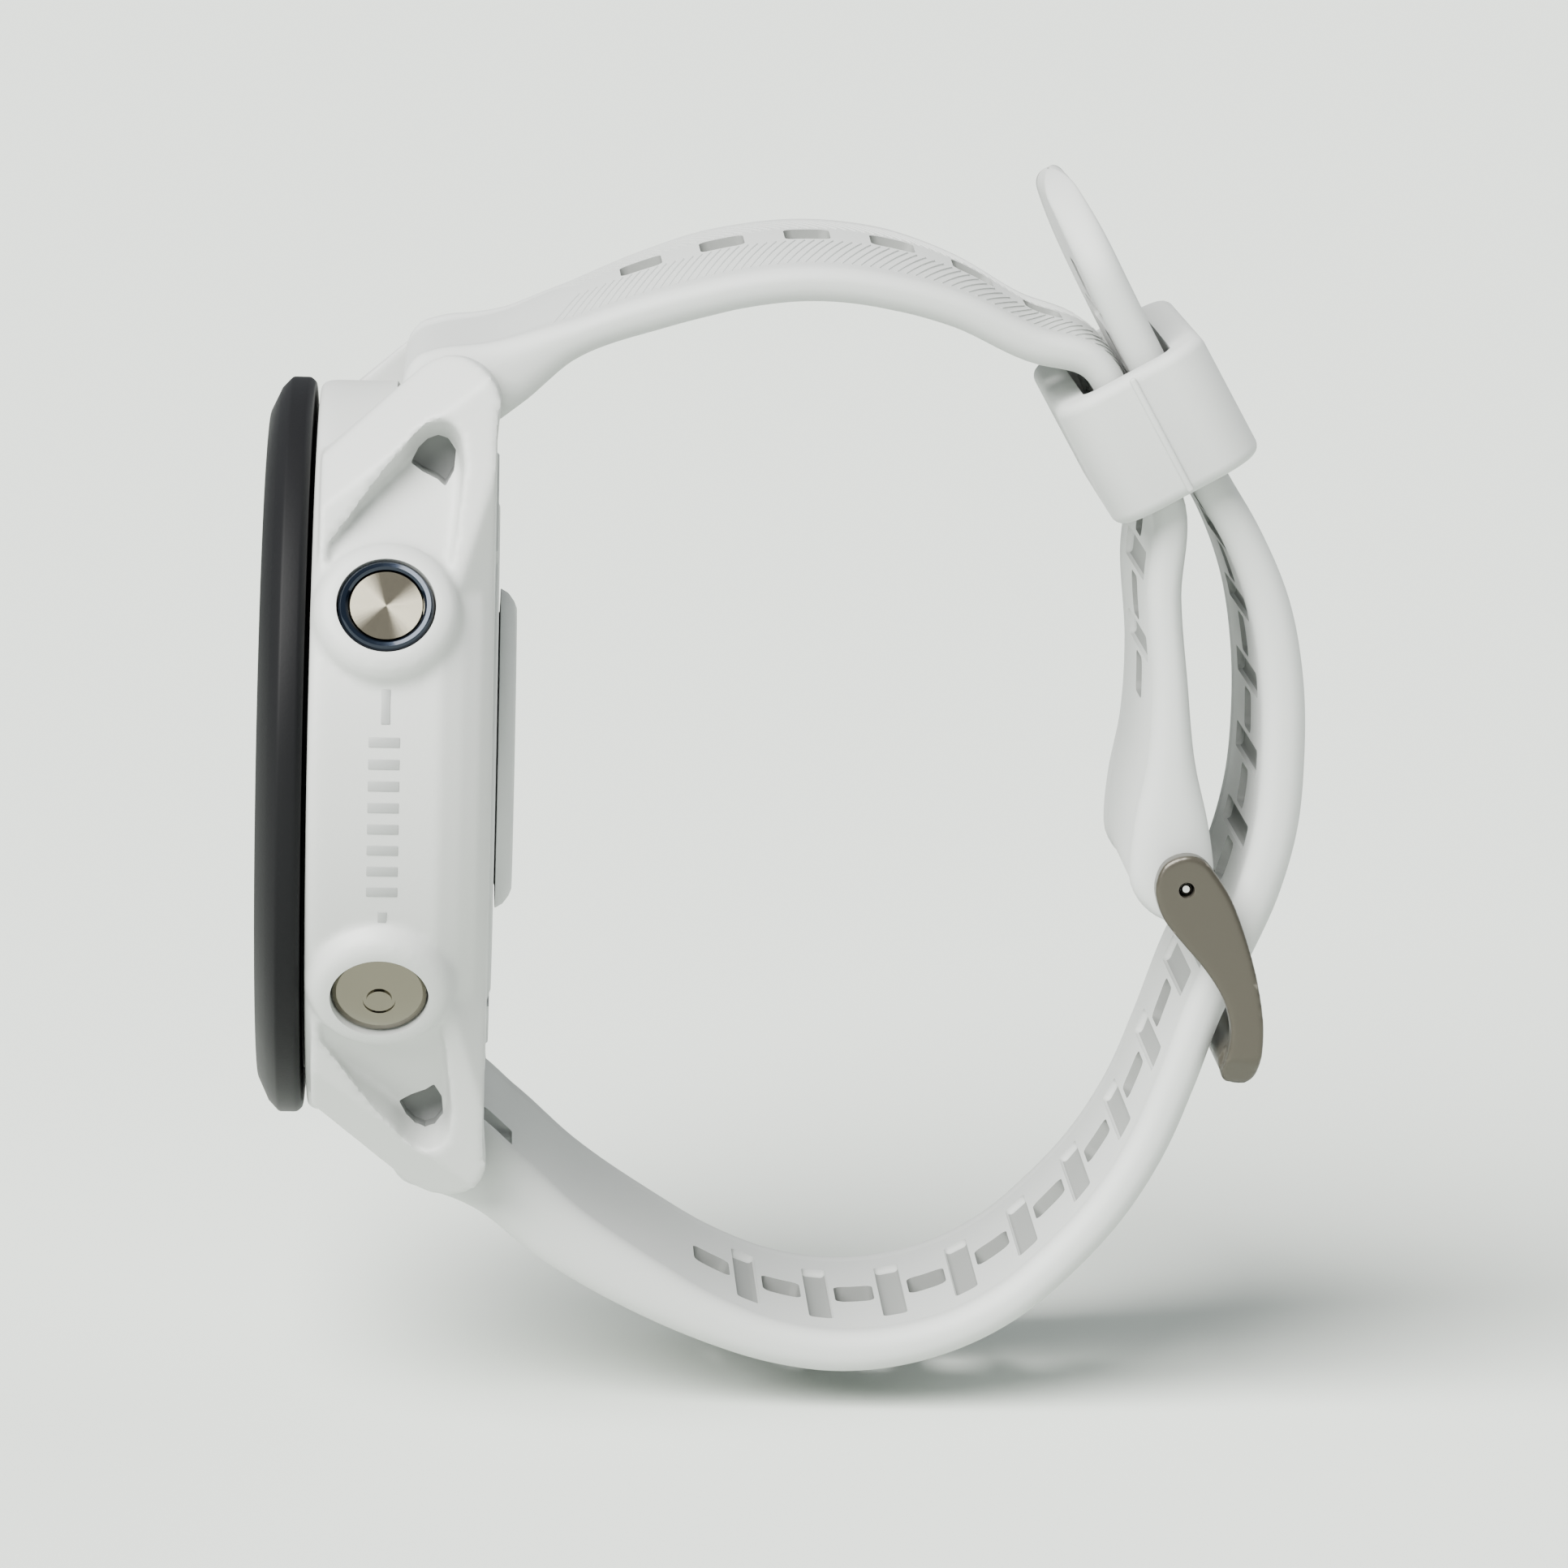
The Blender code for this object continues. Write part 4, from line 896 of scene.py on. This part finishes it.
class Route:
    """A strap's middle line with its thickness and width, read by distance from the head."""

    def __init__(self, points, outward, tail_round, tail_corner, crown, drop, twist):
        self.rows = smooth_route(points, 0.2)
        steps = np.linalg.norm(np.diff(self.rows[:, :2], axis=0), axis=1)
        self.at = np.concatenate(([0.0], np.cumsum(steps)))
        self.length = self.at[-1]
        self.outward = outward
        self.end_round = (HEAD_ROUND, tail_round)      # length over which the thickness closes
        self.tail_corner = tail_corner     # length over which the width closes at the tail
        self.crown = crown
        self.drop = drop                   # how far the shoulders fall
        self.twist = twist
        heading = np.gradient(self.rows[:, :2], axis=0)
        self.heading = heading / np.linalg.norm(heading, axis=1)[:, None]

    def read(self, distance):
        """Place, heading, thickness and width at distances along the route."""
        columns = [np.interp(distance, self.at, self.rows[:, k]) for k in range(4)]
        heading = [np.interp(distance, self.at, self.heading[:, k]) for k in range(2)]
        return columns, heading

    def bend(self, piece, tail_corner=None):
        """Move a flat piece (x along, y across, z outwards, in mm) onto the route."""
        mesh = piece.data
        flat = np.zeros(len(mesh.vertices) * 3)
        mesh.vertices.foreach_get("co", flat)
        flat = flat.reshape(-1, 3) / MM
        keep = mesh.attributes.new("flat", "FLOAT_VECTOR", "POINT")
        keep.data.foreach_set("vector", (flat * MM).ravel())
        along = np.clip(flat[:, 0], 0.0, self.length)
        (y, z, thick, wide), (dy, dz) = self.read(along)
        close = 1.0
        for end, radius in zip((along, self.length - along), self.end_round):
            share = np.clip(1.0 - end / radius, 0.0, 1.0)
            close = close * np.sqrt(1.0 - share**2)
        corner = np.clip(1.0 - (self.length - along) / (tail_corner or self.tail_corner), 0.0, 1.0)
        across = flat[:, 1] * wide / (2 * STRAP_HALF) * np.sqrt(1.0 - corner**2 * 0.999)
        bulge = np.interp(along, *np.transpose(self.crown))
        crown = bulge - (bulge + self.drop) * np.minimum(np.abs(flat[:, 1]) / 9.6, 1.0)**2
        crown *= np.clip(flat[:, 2] / 1.25, 0.0, 1.0) * np.clip((along - 4.0) / 8.0, 0.0, 1.0)
        rise = (flat[:, 2] * thick / STRAP_THICK + crown) * close
        lean = np.radians(np.interp(along, *np.transpose(self.twist)))
        across, rise = (across * np.cos(lean) + rise * np.sin(lean),
                        rise * np.cos(lean) - across * np.sin(lean))
        size = np.hypot(dy, dz)
        out_y, out_z = -dz / size * self.outward, dy / size * self.outward
        bent = np.stack([across, y + out_y * rise, z + out_z * rise], axis=1) * MM
        mesh.vertices.foreach_set("co", bent.ravel())
        mesh.update()
        return close_up(piece)


UPPER = Route(UPPER_ROUTE, 1, 2.9, 0.01, UPPER_CROWN, 0.35, UPPER_TWIST)
LOWER = Route(LOWER_ROUTE, -1, 1.4, 7.0, LOWER_CROWN, 0.1, NO_TWIST)


def strap_section():
    """Outline across the strap: recessed outer face, raised rims, round sides, inner rims."""
    half = STRAP_HALF
    right = [(y, STRAP_FACE) for y in (1.5, 3.5, 5.5, 7.5, 8.7)] + [(8.95, 1.20), (9.2, 1.25)]
    right += arc((half - 1.15, 0.10), 1.15, 90, 0, 8)
    right += arc((half - 1.1, -0.15), 1.1, 0, -90, 8)
    right += [(9.3, -1.25), (9.05, -1.19), (8.7, -1.17)]
    left = [(-y, z) for y, z in reversed(right)]
    return right + left


def flat_strap(name, route):
    """A straight strap with its section extruded row by row, closer together at its round ends."""
    head, tail = route.end_round
    end_gap = 0.004                # keeps the end faces from closing to a line
    rows = np.concatenate((head * (1 - np.cos(np.linspace(0, math.pi / 2, 7)))[:-1],
                           np.arange(head, route.length - tail, sizes().strap_step / MM),
                           route.length - tail * (1 - np.sin(np.linspace(0, math.pi / 2, 10)))))
    rows[0] = end_gap
    rows[-1] = route.length - end_gap
    strap = draw_face(name, [(rows[0], y, z) for y, z in strap_section()])
    return extrude(strap, *[(gap, 0, 0) for gap in np.diff(rows) if gap > 0.0005])


def slot_tools(distances, size, height, corner):
    """Rounded cutters standing in a row along the flat strap."""
    return join("slots", [bar("slot", (*size, 9.0), (distance, 0, height), corner=corner)
                          for distance in distances])


def distance_to(route, point):
    """Distance along a route to its point nearest to a place."""
    gaps = np.hypot(route.rows[:, 0] - point[0], route.rows[:, 1] - point[1])
    return float(route.at[int(np.argmin(gaps))])


def slot_in_use():
    """Distance along the lower strap where the prong's line goes through it."""
    away = LOWER.rows[:, :2] - np.array(PIN_AT)
    beside = np.abs(away[:, 0] * PRONG_LEAN[1] - away[:, 1] * PRONG_LEAN[0])
    beside[(away[:, 1] > 0) | (LOWER.at < LOWER.length / 3)] = np.inf
    return float(LOWER.at[int(np.argmin(beside))])


def slot_rows():
    """Slot distances along both straps, in step with the keeper and the prong."""
    bar_at = distance_to(UPPER, (BAR_Y, BAR_Z))
    upper = [bar_at + 13.4 + SLOT_PITCH * k for k in range(11)]
    used = slot_in_use()
    first = used % SLOT_PITCH + 4 * SLOT_PITCH
    lower = list(np.arange(first, LOWER.length - LOWER.tail_corner, SLOT_PITCH))
    return upper, lower, used


def make_strap(name, route, slots):
    """A strap on its route, with its slots and the shallow grooves between them inside."""
    strap = flat_strap(name, route)
    combine(strap, slot_tools(slots, (2.7, 4.0), 0, 0.55))
    grooves = [d + SLOT_PITCH / 2 for d in slots[:-1] if d + 6 < route.length]
    combine(strap, slot_tools(grooves, (1.7, 13.0), -5.25, 0.35))
    return route.bend(strap)


def paint_slot_shade(strap):
    """Give the walls of the slots a darker grey material as painted shade, where the slots are deep and
    dim.
    """
    strap.data.materials.append(finishes()["slot_painted_shade"])
    flat = strap.data.attributes["flat"].data
    for face in strap.data.polygons:
        spots = [Vector(flat[corner].vector) for corner in face.vertices]
        x, y, z = (value / MM for value in sum(spots, Vector()) / len(spots))
        if x > 14 and abs(y) < 2.05 and abs(z) < 0.9:
            face.material_index = 1


def ribs(name, route, first, last):
    """Slanted ribs each side of the slots, on the recessed outer face."""
    size = sizes()
    top = STRAP_FACE + size.rib_height / MM
    near, far, lean = 8.75, 2.6, 1.9
    shape = [(-0.20, 1.0), (0.20, 1.0), (0.07, top), (-0.07, top)]
    rib = draw_face(name, [(first + u, near, z) for u, z in shape])
    extrude(rib, *[(lean / 5, (far - near) / 5, 0)] * 5)
    count = int((last - first) / (size.rib_pitch / MM))
    with_modifier(rib, "ARRAY", count=count, use_relative_offset=False, use_constant_offset=True,
                  constant_offset_displace=(size.rib_pitch, 0, 0))
    with_modifier(rib, "MIRROR", use_axis=(False, True, False), use_mirror_merge=False)
    return route.bend(rib, tail_corner=6.0)


def make_upper_strap():
    """Strap on the 12 o'clock side, with the buckle pin's hole and the notch for the prong."""
    slots, _, _ = slot_rows()
    strap = make_strap("upper_strap", UPPER, slots)
    open_head(strap, 1)
    combine(strap, rod("hub_hole", 0.7, -12, 12, base=(0, *PIN_AT), steps=32))
    combine(strap, bar("notch", (4.0, 5.6, 6.4), (0, PIN_AT[0] + 1.2, -7.2), corner=0.4))
    return finish_strap(strap, "strap_upper")


def make_lower_strap():
    """Strap on the 6 o'clock side; the slot in use is cut along the prong."""
    _, slots, used = slot_rows()
    strap = make_strap("lower_strap", LOWER, [d for d in slots if abs(d - used) > 0.5])
    open_head(strap, -1)
    columns, _ = LOWER.read(np.array([used]))
    at = (0, columns[0][0] - PRONG_LEAN[1] * 0.35, columns[1][0] + PRONG_LEAN[0] * 0.35)
    combine(strap, bar("used_slot", (4.0, 8.0, 3.0), at, turn=PRONG_SLOPE, corner=0.5))
    return finish_strap(strap, "strap_lower")


def finish_strap(strap, body):
    shade(strap, 40)
    dress(strap, finishes()["strap_silicone"])
    paint_slot_shade(strap)
    return place(strap, body, "strap_silicone", body)


def open_head(strap, level):
    """Spring bar's hole in a strap's head, and the mouth that its release pin slides in."""
    base = (0, BAR_Y, level * BAR_Z)
    combine(strap, rod("head_hole", 1.1, -12, 12, base=base, steps=40))
    combine(strap, bar("mouth", (4.2, 4.6, 2.0), (6.3, BAR_Y + 2.25, level * BAR_Z), corner=0.3))


def make_strap_ribs():
    upper_slots, lower_slots, _ = slot_rows()
    silicone = finishes()["strap_silicone"]
    upper = ribs("upper_strap_ribs", UPPER, upper_slots[0] - 6.0, UPPER.length - 33.0)
    place(dress(shade(upper), silicone), "strap_upper", "strap_silicone")
    lower = ribs("lower_strap_ribs", LOWER, lower_slots[0] - 3.0, LOWER.length - LOWER.tail_corner)
    place(dress(shade(lower), silicone), "strap_lower", "strap_silicone")


# ---------------------------------------------------------------- keeper and buckle

def make_keeper():
    """Rounded loop that holds both straps, with a parting ridge on each side."""
    size = sizes()
    outer = round_box(26.4, 10.1, size.keeper_corner / MM, 9)
    inner = round_box(22.9, 6.1, 1.1)
    keeper = sleeve("keeper_loop", outer, 8.3)
    soften(keeper, 0.7 * MM, 5, 50)
    combine(keeper, sleeve("keeper_hole", inner, 12.0))
    for side in (1, -1):
        ridge = bar("ridge", (0.6, 7.9, 0.42), (side * 13.12, 0, 0), corner=0.15)
        combine(keeper, stand_in_keeper(ridge), "UNION")
    soften(keeper, 0.12 * MM, 2, 50)
    shade(keeper, 30)
    return place(dress(keeper, finishes()["strap_silicone"]), "keeper", "strap_silicone", "strap_keeper")


def sleeve(name, outline, reach):
    """An outline of (x, through) points extruded along the strap, then stood in the keeper's place."""
    face = draw_face(name, [(x, -reach / 2, z) for x, z in outline])
    return stand_in_keeper(extrude(face, (0, reach, 0)))


def stand_in_keeper(piece):
    """Turn a piece made along Y to the strap's run in the keeper."""
    lean = math.atan2(KEEPER_DIRECTION.y, KEEPER_DIRECTION.x)
    piece.matrix_world = (Matrix.Translation(Vector((0, *KEEPER_CENTRE)) * MM)
                          @ Matrix.Rotation(lean, 4, "X"))
    return settle(piece)


def make_buckle_loop():
    """Two flat cheeks and the round end bar, blended into one loop."""
    cheek = [(39.9, -6.3), (39.95, -5.3), (40.35, -4.4), (41.1, -3.9), (42.0, -3.75), (42.8, -4.0),
             (43.5, -4.75), (44.6, -6.4), (45.6, -8.8), (46.4, -11.4), (46.9, -14.0), (46.95, -16.0),
             (46.65, -17.6), (45.95, -18.5), (45.1, -18.5), (44.45, -17.7), (44.75, -16.2), (44.9, -14.7),
             (44.35, -12.8), (43.1, -10.9), (41.4, -9.0), (40.4, -7.7)]
    cheek = closed_curve(cheek, 4)
    loop = prism("buckle_loop", cheek, -13.0, -11.35)
    combine(loop, prism("cheek", cheek, 11.35, 13.0), "UNION")
    combine(loop, rod("end_bar", 1.3, -11.8, 11.8, base=(0, *BAR_AT), steps=48), "UNION")
    for side in (1, -1):
        trim(loop, (side * 13.0, 0, -16.6), (side * 0.80, 0, -0.60))
        trim(loop, (side * 12.6, 0, -17.6), (side * 0.55, 0, -0.83))
    with_modifier(loop, "REMESH", mode="VOXEL", voxel_size=sizes().buckle_voxel)
    with_modifier(loop, "SMOOTH", factor=0.5, iterations=12)
    combine(loop, rod("cheek_holes", 0.5, -14, 14, base=(0, *PIN_AT), steps=40))
    shade(loop, 40)
    return place(dress(loop, finishes()["buckle_metal"]), "buckle", "buckle_metal", "buckle_frame")


def make_hinge_pin():
    side = [(0, -12.55), (0.22, -12.55), (0.26, -12.5), (0.26, -12.2), (0.42, -12.1)]
    profile = side + [(radius, -reach) for radius, reach in reversed(side)]
    pin = turned("hinge_pin", profile, 40, (1, 0, 0), (0, *PIN_AT))
    shade(pin, 40)
    return place(dress(pin, finishes()["steel"]), "buckle", "steel", "buckle_pin")


def make_prong():
    """Eye round the hinge pin with the tongue that goes through the slot."""
    prong = turned("prong_tongue", [(1.15, -1.2), (1.15, 1.2), (0.57, 1.2), (0.57, -1.2)], 48, (1, 0, 0),
                   (0, *PIN_AT))
    middle = Vector((0, *PIN_AT)) + Vector((0, *PRONG_LEAN)) * 6.6
    tongue = bar("tongue", (2.2, 11.6, 1.0), middle, turn=PRONG_SLOPE, corner=0.3)
    combine(prong, tongue, "UNION")
    soften(prong, 0.1 * MM, 2, 50)
    shade(prong, 35)
    return place(dress(prong, finishes()["buckle_metal"]), "prong", "buckle_metal", "buckle_prong")


# ---------------------------------------------------------------- kept CAD nodes

def dress_kept_nodes():
    """Give every node that still shows the finish of its slot."""
    slots = {row["node"]: row["material_slot"] for row in frame["record"]["subparts"]}
    for name, item in frame["nodes"].items():
        mat = finishes()[slots[name]]
        if len(item.data.materials) == 0:
            item.data.materials.append(mat)
        for k in range(len(item.material_slots)):
            item.material_slots[k].material = mat


# ---------------------------------------------------------------- stage

def make_floor():
    deselect()
    bpy.ops.mesh.primitive_plane_add(size=14.0, location=(0, 0, sizes().floor_height))
    floor = named("studio_floor")
    dress(floor, finish("studio floor", tuple(colours().floor), 0.9, amount=0.06, cloud=1.5, grain=400.0,
                        specular_ior_level=0.0))


def make_world():
    """Soft light from all round, with a brighter backdrop where the camera looks straight at it."""
    world = bpy.data.worlds.new("studio")
    bpy.context.scene.world = world
    world.use_nodes = True
    tree = world.node_tree
    lit = tree.nodes["Background"]
    lit.inputs["Color"].default_value = (0.90, 0.95, 1.0, 1.0)
    lit.inputs["Strength"].default_value = 0.34
    seen = node(tree, "ShaderNodeBackground", [("Color", (0.93, 0.97, 0.93, 1.0)), ("Strength", 1.75)])
    path = node(tree, "ShaderNodeLightPath")
    either = node(tree, "ShaderNodeMixShader", [(0, path.outputs["Is Camera Ray"]),
                                                (1, lit.outputs[0]),
                                                (2, seen.outputs[0])])
    tree.links.new(either.outputs[0], tree.nodes["World Output"].inputs["Surface"])


def make_lights():
    """Two soft suns: (name, where it shines from, strength, spread in degrees, colour)."""
    lights = (("key", (0.60, -0.52, 0.80), 12.4, 52, (1.0, 0.99, 0.965)),
              ("back", (-0.5, 0.8, 0.6), 0.9, 60, (0.95, 0.98, 1.0)))
    for name, towards, strength, spread, rgb in lights:
        deselect()
        bpy.ops.object.light_add(type="SUN", location=towards)
        light = bpy.context.object
        light.name = name
        light.data.energy = strength
        light.data.angle = math.radians(spread)
        light.data.color = rgb
        light.rotation_euler = (-Vector(towards)).to_track_quat("-Z", "Y").to_euler()


def make_camera():
    scene = bpy.context.scene
    camera = bpy.data.objects.new("camera", bpy.data.cameras.new("camera"))
    scene.collection.objects.link(camera)
    flat = math.cos(CAMERA_PITCH)
    ahead = Vector((-flat * math.cos(CAMERA_YAW), flat * math.sin(CAMERA_YAW), math.sin(CAMERA_PITCH)))
    right = ahead.cross(Vector((0, 0, 1))).normalized()
    up = right.cross(ahead)
    level, tilt = math.cos(CAMERA_ROLL), math.sin(CAMERA_ROLL)
    turn = Matrix((level * right + tilt * up, level * up - tilt * right, -ahead)).transposed()
    camera.matrix_world = Matrix.Translation(CAMERA_AT) @ turn.to_4x4()
    camera.data.lens = CAMERA_LENS
    camera.data.clip_start = 0.01
    camera.data.clip_end = 30.0
    scene.camera = camera


# ---------------------------------------------------------------- operators and panel

class WATCH_OT_studio(bpy.types.Operator):
    """Add the floor, the soft lights and the camera"""
    bl_idname = "watch.studio"
    bl_label = "Studio"

    def execute(self, context):
        make_floor()
        make_world()
        make_lights()
        make_camera()
        return {"FINISHED"}


class WATCH_OT_case(bpy.types.Operator):
    """Model the case with its lugs, collars and side marks"""
    bl_idname = "watch.case"
    bl_label = "Case"

    def execute(self, context):
        make_case_shell()
        make_side_marks()
        return {"FINISHED"}


class WATCH_OT_front(bpy.types.Operator):
    """Model the bezel, the glass and the marks on the display"""
    bl_idname = "watch.front"
    bl_label = "Bezel and glass"

    def execute(self, context):
        make_bezel()
        make_glass()
        make_dial_marks()
        return {"FINISHED"}


class WATCH_OT_back(bpy.types.Operator):
    """Model the back plate, the sensor bump and the cover's screws"""
    bl_idname = "watch.back"
    bl_label = "Back"

    def execute(self, context):
        make_back_cover()
        make_sensor()
        make_screws()
        return {"FINISHED"}


class WATCH_OT_buttons(bpy.types.Operator):
    """Model the five buttons"""
    bl_idname = "watch.buttons"
    bl_label = "Buttons"

    def execute(self, context):
        make_buttons()
        return {"FINISHED"}


class WATCH_OT_straps(bpy.types.Operator):
    """Model the two straps with their slots"""
    bl_idname = "watch.straps"
    bl_label = "Straps"

    def execute(self, context):
        make_upper_strap()
        make_lower_strap()
        return {"FINISHED"}


class WATCH_OT_ribs(bpy.types.Operator):
    """Add the slanted ribs on the straps' outer faces"""
    bl_idname = "watch.ribs"
    bl_label = "Strap ribs"

    def execute(self, context):
        make_strap_ribs()
        return {"FINISHED"}


class WATCH_OT_keeper(bpy.types.Operator):
    """Model the keeper"""
    bl_idname = "watch.keeper"
    bl_label = "Keeper"

    def execute(self, context):
        make_keeper()
        return {"FINISHED"}


class WATCH_OT_buckle(bpy.types.Operator):
    """Model the buckle, its pin and its prong"""
    bl_idname = "watch.buckle"
    bl_label = "Buckle"

    def execute(self, context):
        make_buckle_loop()
        make_hinge_pin()
        make_prong()
        return {"FINISHED"}


class WATCH_OT_kept(bpy.types.Operator):
    """Give the inner parts their finishes"""
    bl_idname = "watch.kept"
    bl_label = "Inner parts"

    def execute(self, context):
        dress_kept_nodes()
        return {"FINISHED"}


STEPS = (WATCH_OT_studio, WATCH_OT_case, WATCH_OT_front, WATCH_OT_back, WATCH_OT_buttons,
         WATCH_OT_straps, WATCH_OT_ribs, WATCH_OT_keeper, WATCH_OT_buckle, WATCH_OT_kept)


class WATCH_PT_panel(bpy.types.Panel):
    bl_idname = "WATCH_PT_panel"
    bl_label = "Running watch"
    bl_space_type = "VIEW_3D"
    bl_region_type = "UI"
    bl_category = "Watch"

    def draw(self, context):
        for group in (context.scene.watch_sizes, context.scene.watch_colours):
            box = self.layout.box()
            for name in group.__annotations__:
                box.prop(group, name)
        for step in STEPS:
            self.layout.operator(step.bl_idname)


CLASSES = (WatchSizes, WatchColours) + STEPS + (WATCH_PT_panel,)


def register():
    for item in CLASSES:
        bpy.utils.register_class(item)
    bpy.types.Scene.watch_sizes = PointerProperty(type=WatchSizes)
    bpy.types.Scene.watch_colours = PointerProperty(type=WatchColours)


def unregister():
    del bpy.types.Scene.watch_colours
    del bpy.types.Scene.watch_sizes
    for item in reversed(CLASSES):
        bpy.utils.unregister_class(item)


def main():
    register()
    for step in STEPS:
        group, name = step.bl_idname.split(".")
        getattr(getattr(bpy.ops, group), name)()


if __name__ == "__main__":
    main()
